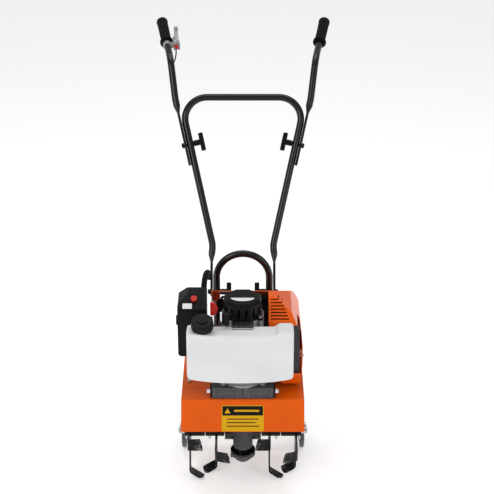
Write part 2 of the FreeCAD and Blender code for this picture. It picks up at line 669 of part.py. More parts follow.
def fuel_tank():
    """Blow-moulded tank: soft steps across its face and a raised end under the filler."""
    x0, x1 = TANK_X
    y0, y1 = TANK_Y
    z0, z1 = TANK_Z
    face = [V(x0, y0, z0 + 16), V(x0 + 10, y0, z0 + 2), V(-60, y0, z0), V(-44, y0, z0 - 12),
            V(60, y0, z0 - 12), V(78, y0, z0), V(x1 - 12, y0, z0), V(x1, y0, z0 + 18),
            V(x1, y0, z1 - 4), V(x1 - 12, y0, z1 + 10), V(x1 - 44, y0, z1 + 10),
            V(x1 - 56, y0, z1), V(-66, y0, z1), V(-72, y0, z1 + 6), V(x0 + 10, y0, z1 + 6),
            V(x0, y0, z1 - 6)]
    body = prism(face, Y * (y1 - y0))
    body = body.makeFillet(5.0, [e for e in body.Edges if along(Y)(e)])
    rim = [e for e in body.Edges if e.BoundBox.YLength < 0.01]
    front = [e for e in rim if abs(e.BoundBox.YMin - y0) < 0.1]
    back = [e for e in rim if abs(e.BoundBox.YMin - y1) < 0.1]
    body = body.makeFillet(4.5, front + back)
    slope = prism([V(x0 - 5, y0 - 1, z1 - 22), V(x0 - 5, y0 - 1, z1 + 20),
                   V(x0 - 5, y0 + 22, z1 + 20)], X * (x1 - x0 + 10))
    body = body.cut(slope)
    steps = [box(x - 1.0, x + 1.0, y0 - 1, y0 + 1.0, z0 - 20, z1 - 24) for x in (-66, 62)]
    neck = rod(CAP_AT - CAP_AXIS * 16, CAP_AT + CAP_AXIS * 2, CAP_R - 6)
    seat = rod(CAP_AT + CAP_AXIS * 2.1, CAP_AT + CAP_AXIS * 40, CAP_R + 2)
    body = body.cut(group(steps)).cut(seat)
    return fuse([body, neck, rod(CAP_AT, CAP_AT + CAP_AXIS * 14, CAP_R - 6)])


def fuel_cap():
    """Ribbed screw cap over the filler neck."""
    cap = rounded(rod(V(0, 0, 0), V(0, 0, 24), CAP_R - 1.5), 3.0, lambda e: e.BoundBox.ZMin > 20)
    ribs = []
    for k in range(20):
        rib = box(CAP_R - 3, CAP_R, -1.6, 1.6, 2, 20)
        rib.rotate(V(0, 0, 0), Z, 18 * k)
        ribs.append(rib)
    crown = rod(V(0, 0, 23), V(0, 0, 27), 13.0)
    cap = fuse([cap, crown] + ribs).cut(rod(V(0, 0, -1), V(0, 0, 16), CAP_R - 5))
    return stand(cap, CAP_AT + CAP_AXIS * 2.2, CAP_AXIS)


def tank_bracket():
    lip = box(-27, 27, -116, WORM_Y - FAN_R + 6, 500.2, 503.2)
    lip = lip.cut(rod(at(495), at(510), FAN_R + 0.3))
    hook = box(-27, 27, TANK_Y[1] + 1.0, TANK_Y[1] + 3.5, 470, 500.3)
    return fuse([lip, hook])


parts["fuel_tank"] = fuel_tank()
parts["fuel_cap"] = fuel_cap()
parts["tank_bracket"] = tank_bracket()


# ---- air filter and carburettor -----------------------------------------------------
FILTER_X = (-166.0, -92.0)
FILTER_Y = (-40.0, 42.0)
FILTER_Z = (377.0, 540.0)


def filter_form(inset):
    """Cover's outer form, or its inside when inset: cut corners and a sloping front top."""
    x0, x1 = FILTER_X[0] + inset, FILTER_X[1] - inset
    y0, y1 = FILTER_Y[0] + inset, FILTER_Y[1] - inset
    z0, z1 = FILTER_Z[0] + inset, FILTER_Z[1] - inset
    front = prism([V(x0, y0, z0 + 8), V(x0 + 8, y0, z0), V(x1, y0, z0), V(x1, y0, z1),
                   V(x0 + 26, y0, z1), V(x0, y0, z1 - 18)], Y * (y1 - y0))
    side = prism([V(x0, y0, z0), V(x0, y0, z1 - 26), V(x0, y0 + 44, z1), V(x0, y1, z1),
                  V(x0, y1, z0)], X * (x1 - x0))
    radius = max(6.0 - inset, 1.5)
    return rounded(front, radius, along(Y)).common(rounded(side, radius, along(X)))


FILTER_SPLIT = -106.0


def filter_cover():
    shell = filter_form(0).cut(filter_form(2.5))
    return shell.common(box(-200, FILTER_SPLIT, -100, 100, 300, 600))


def filter_base():
    plate = filter_form(0).common(box(FILTER_SPLIT + 0.1, -80, -100, 100, 300, 600))
    tray = box(FILTER_SPLIT, FILTER_X[1] - 4, FILTER_Y[0] + 6, FILTER_Y[1] - 6, FILTER_Z[0] + 8,
               FILTER_Z[1] - 32)
    return plate.cut(tray).cut(rod(V(-110, 14, CYLINDER_Z), V(-80, 14, CYLINDER_Z), 12.0))


BUTTON_AT = V(-124.0, -14.0, 532.0)
BUTTON_AXIS = V(0, -26, 44).normalize()


def button_hole():
    return rod(BUTTON_AT - BUTTON_AXIS * 12, BUTTON_AT + BUTTON_AXIS * 12, 8.3)


latch = rounded(box(-170.5, FILTER_X[0] + 1, -24, -8, 462, 484), 1.5, along(X))
parts["filter_cover"] = fuse([filter_cover().cut(button_hole()), latch])
parts["filter_base"] = filter_base()
parts["filter_element"] = rounded(box(-158, -110, -30, 34, 392, 492), 6.0, along(X))
parts["primer_button"] = rod(BUTTON_AT - BUTTON_AXIS * 9, BUTTON_AT + BUTTON_AXIS * 5, 8.0)


def carburettor():
    body = fuse([box(-88, -64, 0, 36, CYLINDER_Z - 20, CYLINDER_Z + 22),
                 rod(V(-91.9, 14, CYLINDER_Z), V(-60, 14, CYLINDER_Z), 11.5),
                 rod(V(-76, 18, CYLINDER_Z - 30), V(-76, 18, CYLINDER_Z - 19), 12.0)])
    return body


def intake():
    """Insulator block that leads from the carburettor to the cylinder's port."""
    plate = box(-63.9, -58.1, 0, 66, CYLINDER_Z - 18, CYLINDER_Z + 18)
    return plate.cut(rod(V(-70, 14, CYLINDER_Z), V(-50, 14, CYLINDER_Z), 11.6))


parts["carburettor"] = group([carburettor(), intake()])


# ---- shroud, muffler and heat shield ------------------------------------------------
def shroud_form(inset):
    """Outer form of the moulded shroud, or its inside when inset."""
    t = inset
    front = [V(-81 + t, 0, 300), V(-81 + t, 0, 540), V(56, 0, 540), V(92, 0, 526 - t),
             V(126 - t, 0, 498 - t), V(148 - t, 0, 455), V(155 - t, 0, 400), V(155 - t, 0, 345),
             V(147 - t, 0, 300)]
    side = [V(0, -42 + t, 250), V(0, -42 + t, 478), V(0, 2 + t, 532 - t), V(0, 24, 537 - t),
            V(0, 124 - t, 486 - t), V(0, 132 - t, 470), V(0, 132 - t, 250)]
    wide = prism(front, Y * 300)
    wide.translate(V(0, -100, 0))
    deep = prism(side, X * 400)
    deep.translate(V(-200, 0, 0))
    return rounded(wide, 9.0 - t, along(Y)).common(rounded(deep, 9.0 - t, along(X)))


def louvres():
    """Slots in the sloping front of the shroud's right half, shorter towards the top."""
    slots = []
    for k in range(7):
        z = 484 + 6.6 * k
        reach = 46.0 - 3.2 * k
        slots.append(box(72, 72 + reach, -60, 20, z, z + 3.0))
    return slots


def engine_shroud():
    shell = shroud_form(0)
    hollow = shroud_form(2.5)
    lowered = hollow.copy()
    lowered.translate(V(0, 0, -12))
    shell = shell.cut(hollow.fuse(lowered))
    shell = shell.cut(box(-90, 66, -60, WORM_Y + FAN_R + 2, 200, 560))
    shell = shell.cut(box(-90, 100, -60, 140, 200, 452))
    shell = shell.cut(rod(at(440), at(600), FAN_R + 8))
    shell = shell.cut(group(louvres()))
    shell = shell.cut(rod(V(150, 4, 357), V(158, 4, 357), 3.0 + RUNNING))
    shell = shell.cut(box(-62, -16, 120, 140, 440, 488))
    shell = shell.cut(box(90, 200, -60, 26, 330, 470).cut(box(152.6, 200, -30, 26, 300, 480)))
    return shell


def muffler():
    can = rounded(box(84, 142, -24, 92, 334, 442), 14.0, along(Y))
    outlet = rod(V(118, -23, 352), V(118, -33, 352), 8.0)
    neck = box(62.1, 84.5, 46, 82, CYLINDER_Z - 14, CYLINDER_Z + 14)
    seam = box(80, 150, 32, 36, 330, 446).cut(box(86, 140, 30, 38, 336, 440))
    return fuse([can, neck]).cut(seam)


def heat_shield():
    """Pressed plate in front of the muffler, turned back along its outer side."""
    plate = box(70, 146, -36, -34, 326, 470)
    side = box(144, 146, -36, 20, 326, 440)
    slots = [box(84 + 14 * k, 90 + 14 * k, -38, -32, 360, 410) for k in range(4)]
    return fuse([plate, side]).cut(group(slots))


parts["engine_shroud"] = engine_shroud()
parts["muffler"] = muffler()
parts["heat_shield"] = heat_shield()
shroud_bolt = bolt(V(155.05, 4, 357), X, 3.0, 6.0, 10.0, 5.0)
hex_bolts = gearbox_bolts + deck_bolts + starter_screws + [shroud_bolt]


# ---- carry hoop and handles ---------------------------------------------------------
HANDLE_UP = V(0, math.cos(HANDLE_SLOPE), math.sin(HANDLE_SLOPE))


def on_handle(x, s):
    """A point of the handle's plane: x across, s up the slope from the lower bolts."""
    return PIVOT + X * x + HANDLE_UP * s


def flare_x(s):
    return LOWER_X - 3.0 + (s - FLARE_S) * math.tan(FLARE)


FLARE_WAY = (X * math.sin(FLARE) + HANDLE_UP * math.cos(FLARE)).normalize()
FOLD_AXIS = (X * math.cos(FLARE) - HANDLE_UP * math.sin(FLARE)).normalize()
BOLT_R = 4.0


def pressed_bar(start, way, across, length, thickness=PRESSED, width=24.0):
    """The flat end of a pressed tube: a bar with both ends round, thick along across."""
    wide = way.cross(across).normalize()
    half = width / 2
    corners = [start + wide * half, start + way * length + wide * half,
               start + way * length - wide * half, start - wide * half]
    bar = prism([c - across * (thickness / 2) for c in corners], across * thickness)
    nose = rod(start - across * (thickness / 2), start + across * (thickness / 2), half)
    return fuse([bar, nose])


def swage(start, way, across, length):
    """The stretch where a tube changes from pressed flat to round."""
    wide = way.cross(across).normalize()
    oval = Part.Ellipse(start + wide * 11.7, start + across * (PRESSED / 2 - 0.2), start)
    circle = Part.Circle(start + way * length, oval.Axis, TUBE_R)
    circle.XAxis = wide
    return Part.makeLoft([Part.Wire(oval.toShape()), Part.Wire(circle.toShape())], True)


def carry_hoop():
    """One bent tube: feet along the deck, up to the handle bolts and over in an arch."""
    foot_z = DECK_Z + SHEET + TUBE_R + 0.05
    y = PIVOT.y
    arch = HOOP_X
    route = []
    for side in (-1, 1):
        leg = [V(side * arch, 70, foot_z), V(side * arch, y, foot_z), V(side * arch, y, HOOP_TOP)]
        route.append(leg)
    left = pipe([route[0][0], route[0][1], route[0][2]], [45.0], TUBE_R)
    right = pipe([route[1][0], route[1][1], route[1][2]], [45.0], TUBE_R)
    top = Part.makeTorus(arch, TUBE_R, V(0, y, HOOP_TOP), Y, 0, 360, 360)
    top = top.common(box(-120, 120, y - 40, y + 40, HOOP_TOP, HOOP_TOP + 120))
    hoop = fuse([left, right, top])
    holes = pair(rod(V(arch - 15, y, PIVOT.z), V(arch + 15, y, PIVOT.z), BOLT_R + FIT))
    return hoop.cut(holes)


def hoop_saddles():
    """Pressed straps that clamp the hoop's feet to the deck."""
    foot_z = DECK_Z + SHEET + TUBE_R + 0.05
    arch = ring(V(HOOP_X, 96, foot_z), V(HOOP_X, 116, foot_z), TUBE_R + 2.5, TUBE_R + 0.05)
    arch = arch.common(box(0, 150, 90, 120, foot_z, 340))
    straps = arch.Solids
    for s in SIDES:
        x0 = HOOP_X + s * (TUBE_R + 1.3)
        straps.append(box(x0 - 1.2, x0 + 1.2, 96, 116, DECK_Z + SHEET + 0.02, foot_z + 0.2))
        x1 = HOOP_X + s * (TUBE_R + 8)
        straps.append(box(x1 - 8, x1 + 8, 96, 116, DECK_Z + SHEET + 0.02, DECK_Z + SHEET + 2.5))
    strap = fuse(straps).cut(rod(V(HOOP_X, 90, foot_z), V(HOOP_X, 120, foot_z), TUBE_R + 0.05))
    return strap


def handle_frame():
    """The U-shaped lower handle: pressed ends on the hoop, flared sides and a crossbar."""
    lower = LOWER_X
    pieces = []
    corner = on_handle(flare_x(CROSSBAR_S), CROSSBAR_S)
    start_s = FLARE_S
    for side in SIDES:
        base = PIVOT + X * (side * lower)
        pieces.append(pressed_bar(base, HANDLE_UP, X, 78.0))
        pieces.append(swage(base + HANDLE_UP * 78.0, HANDLE_UP, X, 24.0))
    points = [on_handle(-lower, 102.0), on_handle(-flare_x(start_s), start_s),
              V(-corner.x, corner.y, corner.z), corner, on_handle(flare_x(start_s), start_s),
              on_handle(lower, 102.0)]
    pieces.append(pipe(points, [70.0, CROSSBAR_BEND, CROSSBAR_BEND, 70.0], TUBE_R))
    frame = fuse(pieces)
    cuts = []
    for side in SIDES:
        low = PIVOT + X * (side * lower)
        cuts.append(rod(low - X * 20, low + X * 20, BOLT_R + FIT))
        axis = V(side * FOLD_AXIS.x, FOLD_AXIS.y, FOLD_AXIS.z)
        spot = fold_point(side)
        cuts.append(rod(spot - axis * 20, spot + axis * 12, BOLT_R + FIT))
    return frame.cut(group(cuts))


def fold_point(side):
    """Where the fold bolt crosses the lower handle's tube."""
    return on_handle(side * flare_x(FOLD_S), FOLD_S)


BAR_OFFSET = TUBE_R + PRESSED / 2 + 0.3


def upper_bar():
    """Right upper handlebar: pressed lower end outside the frame, then up to the grip."""
    bolt_at = fold_point(1) + FOLD_AXIS * BAR_OFFSET
    low = bolt_at - FLARE_WAY * 46.0
    high = bolt_at + FLARE_WAY * 88.0
    flat = pressed_bar(low, FLARE_WAY, FOLD_AXIS, 134.0)
    change = swage(high, FLARE_WAY, FOLD_AXIS, 24.0)
    start = high + FLARE_WAY * 24.0
    knee = high + FLARE_WAY * 44.0
    bend = on_handle(BEND_X, BEND_S)
    rise = V(0, math.cos(GRIP_RISE), math.sin(GRIP_RISE)) * GRIP_RUN
    end = bend + rise + X * (GRIP_X - BEND_X)
    tube = pipe([start, knee, bend, end], [150.0, 55.0], TUBE_R)
    bar = fuse([flat, change, tube])
    hole = rod(bolt_at - FOLD_AXIS * 20, bolt_at + FOLD_AXIS * 20, BOLT_R + FIT)
    return bar.cut(hole), bend, end


def grip(bend, end):
    """Ribbed rubber sleeve with a domed end and a flange at its inner end."""
    way = (end - bend).normalize()
    base = end - way * (GRIP_LENGTH - 5)
    reach = GRIP_LENGTH
    length = (end - base).Length
    profile = [(TUBE_R + 0.05, 0), (GRIP_R + 2.5, 0), (GRIP_R + 2.5, 4), (GRIP_R - 1.5, 7),
               (GRIP_R - 0.8, reach - 14), (GRIP_R, reach - 12), (GRIP_R, reach - 6),
               (GRIP_R - 5, reach - 0.5), (0, reach), (0, length + 0.1),
               (TUBE_R + 0.05, length + 0.1)]
    sleeve = outline([V(r, 0, z) for r, z in profile]).revolve(V(0, 0, 0), Z, 360)
    grooves = [ring(V(0, 0, 16 + 9 * k), V(0, 0, 18.5 + 9 * k), GRIP_R + 1, GRIP_R - 2.2)
               for k in range(10)]
    return stand(sleeve.cut(group(grooves)), base, way)


def t_knob(reach):
    """T-headed bolt with its lock nut at the origin and its moulded bar up +Z."""
    bar = rounded(box(-6.5, 6.5, -25, 25, reach + 17, reach + 30), 3.0)
    stem = rod(V(0, 0, reach + 0.3), V(0, 0, reach + 18), 8.0)
    shank = rod(V(0, 0, -7), V(0, 0, reach + 1), BOLT_R)
    lock_nut = hexagon(13.0, -6.3, 6.0)
    return fuse([bar, stem, shank, lock_nut])


def place_knob(reach, nut_end, inward, bar_way):
    """Turns a knob so that its bar lies along bar_way and its bolt points outwards."""
    knob = t_knob(reach)
    turn = FreeCAD.Rotation(inward.cross(bar_way) * -1, bar_way, inward, "ZXY")
    knob.Placement = FreeCAD.Placement(nut_end, turn)
    return knob


parts["carry_hoop"] = carry_hoop()
saddle = hoop_saddles()
parts["fasteners"] = group(hex_bolts + [saddle, mirror_x(saddle)])
parts["handle_frame"] = handle_frame()
right_bar, right_bend, right_end = upper_bar()
parts["upper_bar_right"] = right_bar
parts["upper_bar_left"] = mirror_x(right_bar)
right_grip = grip(right_bend, right_end)
parts["grip_right"] = right_grip
parts["grip_left"] = mirror_x(right_grip)

LOWER_REACH = LOWER_X + PRESSED / 2 - (HOOP_X - TUBE_R)
UPPER_REACH = BAR_OFFSET + PRESSED / 2 + TUBE_R
lower_outer = PIVOT + X * (LOWER_X + PRESSED / 2)
lower_knob = place_knob(LOWER_REACH, lower_outer, -X, HANDLE_UP)
upper_outer = fold_point(1) + FOLD_AXIS * (BAR_OFFSET + PRESSED / 2)
upper_knob = place_knob(UPPER_REACH, upper_outer, -FOLD_AXIS, FLARE_WAY)
parts["lower_knob_right"] = lower_knob
parts["lower_knob_left"] = mirror_x(lower_knob)
parts["upper_knob_right"] = upper_knob
parts["upper_knob_left"] = mirror_x(upper_knob)


# ---- throttle control on the left bar -----------------------------------------------
left_bend = V(-right_bend.x, right_bend.y, right_bend.z)
left_end = V(-right_end.x, right_end.y, right_end.z)
GRIP_WAY = (left_end - left_bend).normalize()
CONTROL_AT = left_bend + GRIP_WAY * 74.0
INWARD = (X - GRIP_WAY * GRIP_WAY.x).normalize()
FORWARD = GRIP_WAY * -1
ABOVE = FORWARD.cross(INWARD)
CONTROL_TURN = FreeCAD.Rotation(INWARD, ABOVE, FORWARD, "ZXY")


def on_control(shape):
    """Places a shape drawn with x inwards, y up and z forwards, away from the grip."""
    moved = shape.copy()
    moved.Placement = FreeCAD.Placement(CONTROL_AT, CONTROL_TURN).multiply(moved.Placement)
    return moved


def control_point(x, y, z):
    return CONTROL_AT + INWARD * x + ABOVE * y + FORWARD * z


BUTTON_XY = (24.0, 2.0)
LEVER_PIVOT = (25.0, -4.0)      # x and z of the lever's pin
LEVER_Y = 19.2                  # underside of the lever, above the grip's flange


def throttle_clamp():
    band = ring(V(0, 0, -8), V(0, 0, 8), TUBE_R + 2.5, TUBE_R + 0.05)
    ear = box(TUBE_R + 1, 14.9, -6, 6, -8, 8).cut(rod(V(0, 0, -9), V(0, 0, 9), TUBE_R + 1.5))
    screw = rod(V(0, -TUBE_R - 6, 0), V(0, -TUBE_R - 2, 0), 3.5)
    return fuse([band, ear, screw])


def throttle_housing():
    shell = rounded(box(15, 34, -9, 13, -14, 14), 3.0, along(Z))
    shell = shell.cut(rod(V(*BUTTON_XY, 3), V(*BUTTON_XY, 15), 4.7))
    px, pz = LEVER_PIVOT
    post = rod(V(px, 12, pz), V(px, LEVER_Y - 0.2, pz), 6.0)
    pin = rod(V(px, 12, pz), V(px, LEVER_Y + 5, pz), 3.0)
    return fuse([shell, post, pin])


def throttle_lever():
    """Pressed lever on the housing's pin, with a turned-up thumb pad."""
    px, pz = LEVER_PIVOT
    y = LEVER_Y
    arm = prism([V(px - 7, y, pz + 4), V(px + 7, y, pz + 4), V(px + 10, y, pz - 46),
                 V(px + 1, y, pz - 46)], Y * 3.0)
    eye = rod(V(px, y, pz), V(px, y + 3, pz), 8.0)
    pad = rounded(box(px, px + 11, y, y + 9, pz - 46.5, pz - 38), 2.0, along(Z))
    return fuse([arm, eye, pad]).cut(rod(V(px, y - 1, pz), V(px, y + 9, pz), 3.0 + RUNNING))


CABLE_R = 1.8
CABLE_ROUTE = [control_point(24, -9.1, 0), control_point(24, -30, 0), control_point(16, -44, 22),
               control_point(2, -38, 46), control_point(0, -10.8, 60)]


def cord_radii(route, what):
    """Each arc takes 0.45 of the shorter of its two runs."""
    radii = []
    for before, corner, after in zip(route, route[1:], route[2:]):
        half_turn = (corner - before).getAngle(after - corner) / 2
        shorter = min((corner - before).Length, (after - corner).Length)
        radii.append(0.45 * shorter / math.tan(half_turn))
    print(what, "bend radii", [round(r, 1) for r in radii])
    return radii


def cord(route, radius, what):
    tube = pipe(route, cord_radii(route, what), radius)
    length = pipe_path(route, cord_radii(route, what)).Length
    print(what, "length", round(length, 1), "volume / (section * length)",
          round(tube.Volume / (math.pi * radius ** 2 * length), 4))
    return tube


parts["throttle_housing"] = on_control(fuse([throttle_clamp(), throttle_housing()]))
parts["throttle_lever"] = on_control(throttle_lever())
parts["stop_button"] = on_control(rod(V(*BUTTON_XY, 8.0), V(*BUTTON_XY, 18.5), 4.5))
parts["throttle_cable"] = cord(CABLE_ROUTE, CABLE_R, "throttle_cable")

SLEEVE_R = 7.5
SLEEVE_ROUTE = [V(-101, 47.5, 512), V(-101, 76, 533), V(-97, 112, 543), V(-92, 148, 530),
                V(-90, 174, 500)]
parts["cable_sleeve"] = cord(SLEEVE_ROUTE, SLEEVE_R, "cable_sleeve")
parts["plug_lead"] = fuse([plug_boot(), cord(LEAD_ROUTE, 3.5, "plug_lead")])


# ---- transport wheels ---------------------------------------------------------------
WHEEL_AXLE_R = 6.0
ARM_X = (153.0, 155.9)


def wheel():
    """Thin pressed wheel: a rounded rim, a dished web with holes and a hub."""
    profile = [(WHEEL_AXLE_R + RUNNING, -6), (11, -6), (13, -2), (44, -1.5), (48, -5), (57, -6),
               (WHEEL_R, -3), (WHEEL_R, 3), (57, 6), (48, 5), (44, 1.5), (13, 2), (11, 6),
               (WHEEL_AXLE_R + RUNNING, 6)]
    disc = outline([V(r, 0, z) for r, z in profile]).revolve(V(0, 0, 0), Z, 360)
    holes = [rod(V(28 * math.cos(a), 28 * math.sin(a), -3), V(28 * math.cos(a), 28 * math.sin(a), 3),
                 8.0) for a in (math.radians(72 * k) for k in range(5))]
    return stand(disc.cut(group(holes)), WHEEL_AT + X * WHEEL_X, X)


def wheel_bracket():
    """Two arms from the deck's lips to the wheel axle, with a brace between them."""
    x0, x1 = ARM_X
    y, z = WHEEL_AT.y, WHEEL_AT.z
    arm = prism([V(x0, 112, DECK_Z - 1), V(x0, 146, DECK_Z - 1), V(x0, y + 12, z),
                 V(x0, y - 12, z)], X * (x1 - x0))
    foot = rod(V(x0, y, z), V(x1, y, z), 12.0)
    brace = rod(V(-x0 - 1, 146, 176), V(x0 + 1, 146, 176), 6.0)
    arms = [fuse([arm, foot]), mirror_x(fuse([arm, foot]))]
    gusset = prism([V(x0 - 1, 140, 176), V(x0 - 1, 126, 150), V(x0 - 1, 126, 206)], X * 1.5)
    whole = fuse(arms + [brace, gusset, mirror_x(gusset)])
    return whole.cut(rod(V(-200, y, z), V(200, y, z), WHEEL_AXLE_R + FIT))


right_wheel = wheel()
parts["wheel_right"] = right_wheel
parts["wheel_left"] = mirror_x(right_wheel)
parts["wheel_bracket"] = wheel_bracket()
end_caps = [rod(WHEEL_AT + X * (side * 170.2), WHEEL_AT + X * (side * 176), 10.0)
            for side in SIDES]
parts["wheel_axle"] = fuse([rod(WHEEL_AT - X * 171, WHEEL_AT + X * 171, WHEEL_AXLE_R)]
                           + end_caps)


# ---- drag stake ---------------------------------------------------------------------
def stake_socket():
    """Box welded to the deck's rear lip, with a nut for the clamp knob."""
    sleeve = box(-13, 13, DECK_REAR + 0.05, STAKE_Y + 17, 256, 306)
    slot = box(-5.2, 5.2, STAKE_Y - 12.7, STAKE_Y + 12.7, 250, 310)
    boss = rod(V(0, STAKE_Y + 16, 281), V(0, STAKE_Y + 22, 281), 10.0)
    hole = rod(V(0, STAKE_Y, 281), V(0, STAKE_Y + 30, 281), 4.0 + RUNNING)
    return fuse([sleeve, boss]).cut(slot).cut(hole)


def drag_stake():
    """Flat bar with a row of holes, its foot cut to a point."""
    bar = prism([V(-4.8, STAKE_Y - 12.5, 350), V(-4.8, STAKE_Y + 12.5, 350),
                 V(-4.8, STAKE_Y + 12.5, 52), V(-4.8, STAKE_Y + 4, 18),
                 V(-4.8, STAKE_Y - 12.5, 40)], X * 9.6)
    holes = [rod(V(-6, STAKE_Y, z), V(6, STAKE_Y, z), 3.5) for z in (90, 130, 170, 210, 250, 335)]
    return bar.cut(group(holes))


def stake_knob():
    knob = fuse([rod(V(0, 0, 0), V(0, 0, 27), 4.0), rod(V(0, 0, 10), V(0, 0, 22), 8.0),
                 rounded(box(-19, 19, -6, 6, 20, 31), 3.0)])
    return stand(knob, V(0, STAKE_Y + 12.8, 281), Y)


parts["wheel_bracket"] = group([parts["wheel_bracket"], stake_socket()])
parts["drag_stake"] = drag_stake()
parts["stake_knob"] = stake_knob()


# ---- write one file for each piece --------------------------------------------------
def main():
    os.makedirs("parts", exist_ok=True)
    for old in os.listdir("parts"):
        os.remove(os.path.join("parts", old))
    for name, shape in parts.items():
        placed = shape.copy()
        placed.translate(ORIGIN_SHIFT)
        placed.exportStep(os.path.join("parts", name + ".step"))
        print(name, len(shape.Solids), "solid(s)", "valid" if shape.isValid() else "NOT VALID",
              round(shape.Volume / 1000.0, 2), "cm3")


main()
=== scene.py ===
import bmesh
import bpy
import json
import math
from bpy.props import FloatProperty, FloatVectorProperty, PointerProperty
from mathutils import Matrix, Vector
from mathutils.bvhtree import BVHTree
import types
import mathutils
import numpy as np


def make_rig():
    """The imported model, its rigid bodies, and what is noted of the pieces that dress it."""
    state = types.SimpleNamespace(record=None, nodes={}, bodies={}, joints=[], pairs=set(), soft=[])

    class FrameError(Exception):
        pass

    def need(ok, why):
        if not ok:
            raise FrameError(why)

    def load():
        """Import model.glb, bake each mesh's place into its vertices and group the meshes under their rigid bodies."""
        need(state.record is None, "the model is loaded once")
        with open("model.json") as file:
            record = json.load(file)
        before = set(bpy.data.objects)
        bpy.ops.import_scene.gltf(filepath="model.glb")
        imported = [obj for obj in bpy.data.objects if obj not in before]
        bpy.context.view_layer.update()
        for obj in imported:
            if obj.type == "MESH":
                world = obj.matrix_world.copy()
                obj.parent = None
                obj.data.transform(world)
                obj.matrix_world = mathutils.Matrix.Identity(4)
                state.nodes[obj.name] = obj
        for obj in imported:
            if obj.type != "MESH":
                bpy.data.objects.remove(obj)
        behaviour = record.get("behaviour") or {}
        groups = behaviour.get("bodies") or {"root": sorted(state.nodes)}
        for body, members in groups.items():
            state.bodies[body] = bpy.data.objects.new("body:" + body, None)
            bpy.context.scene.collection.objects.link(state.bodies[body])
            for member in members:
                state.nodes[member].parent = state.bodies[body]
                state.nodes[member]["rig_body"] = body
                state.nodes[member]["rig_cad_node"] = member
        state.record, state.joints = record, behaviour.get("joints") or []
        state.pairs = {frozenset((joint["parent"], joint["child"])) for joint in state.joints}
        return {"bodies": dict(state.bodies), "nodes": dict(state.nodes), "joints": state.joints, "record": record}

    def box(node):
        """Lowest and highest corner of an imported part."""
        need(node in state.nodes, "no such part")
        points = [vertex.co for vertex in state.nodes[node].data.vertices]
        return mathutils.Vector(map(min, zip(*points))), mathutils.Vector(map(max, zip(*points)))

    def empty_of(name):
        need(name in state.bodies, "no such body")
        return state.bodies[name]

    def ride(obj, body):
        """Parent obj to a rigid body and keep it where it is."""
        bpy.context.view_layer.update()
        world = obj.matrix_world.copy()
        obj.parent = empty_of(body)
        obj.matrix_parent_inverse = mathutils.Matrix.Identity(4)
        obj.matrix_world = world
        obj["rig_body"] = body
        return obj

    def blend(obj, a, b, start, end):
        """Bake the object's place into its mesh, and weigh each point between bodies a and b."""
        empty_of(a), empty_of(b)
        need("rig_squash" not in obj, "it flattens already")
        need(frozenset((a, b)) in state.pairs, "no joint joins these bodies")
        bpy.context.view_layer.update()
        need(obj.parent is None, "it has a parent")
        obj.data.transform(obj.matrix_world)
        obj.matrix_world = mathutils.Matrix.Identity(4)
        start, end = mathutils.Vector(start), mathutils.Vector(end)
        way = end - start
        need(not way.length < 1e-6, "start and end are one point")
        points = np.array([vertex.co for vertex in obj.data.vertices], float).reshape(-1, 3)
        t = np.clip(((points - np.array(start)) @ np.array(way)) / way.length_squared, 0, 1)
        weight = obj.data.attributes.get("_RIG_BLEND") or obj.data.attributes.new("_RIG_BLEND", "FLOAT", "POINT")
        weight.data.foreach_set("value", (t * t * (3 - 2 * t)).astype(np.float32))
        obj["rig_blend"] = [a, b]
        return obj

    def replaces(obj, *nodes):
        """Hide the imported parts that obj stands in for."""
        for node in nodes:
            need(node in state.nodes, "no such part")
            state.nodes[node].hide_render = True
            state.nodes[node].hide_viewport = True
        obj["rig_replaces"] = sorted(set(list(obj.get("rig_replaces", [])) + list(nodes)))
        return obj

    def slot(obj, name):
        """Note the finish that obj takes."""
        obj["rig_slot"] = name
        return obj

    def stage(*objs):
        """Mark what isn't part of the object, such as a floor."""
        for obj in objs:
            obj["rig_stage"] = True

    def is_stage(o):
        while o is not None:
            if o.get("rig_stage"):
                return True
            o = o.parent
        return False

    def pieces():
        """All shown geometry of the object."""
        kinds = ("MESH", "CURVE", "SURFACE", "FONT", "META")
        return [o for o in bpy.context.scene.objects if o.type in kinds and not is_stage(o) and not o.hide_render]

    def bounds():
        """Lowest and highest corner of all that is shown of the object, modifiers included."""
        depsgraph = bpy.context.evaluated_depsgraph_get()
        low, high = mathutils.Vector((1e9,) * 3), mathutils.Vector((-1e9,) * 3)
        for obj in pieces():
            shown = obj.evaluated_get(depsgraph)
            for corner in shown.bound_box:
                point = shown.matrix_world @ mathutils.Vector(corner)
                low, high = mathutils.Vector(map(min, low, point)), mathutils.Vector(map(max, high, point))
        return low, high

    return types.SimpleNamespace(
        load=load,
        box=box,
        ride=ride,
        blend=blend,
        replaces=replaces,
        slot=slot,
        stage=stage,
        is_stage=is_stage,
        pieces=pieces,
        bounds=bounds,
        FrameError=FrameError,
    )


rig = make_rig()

bl_info = {
    "name": "Mini Tiller",
    "version": (1, 0, 0),
    "blender": (4, 5, 0),
    "location": "3D View > Sidebar > Tiller",
    "description": "Finishes and small fittings for a front-tine mini tiller",
    "category": "Object",
}

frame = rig.load()
NODES = frame["nodes"]
CAD_BOX = [list(corner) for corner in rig.bounds()]
MM = 0.001


# ---- what a user may change ---------------------------------------------------------
def colour(name, description, default):
    """A colour that the panel can change."""
    return FloatVectorProperty(name=name, description=description, default=default, size=3,
                               min=0.0, max=1.0, subtype="COLOR")


def length(name, description, default):
    """A length in metres that the panel can change."""
    return FloatProperty(name=name, description=description, default=default, unit="LENGTH",
                         subtype="DISTANCE")


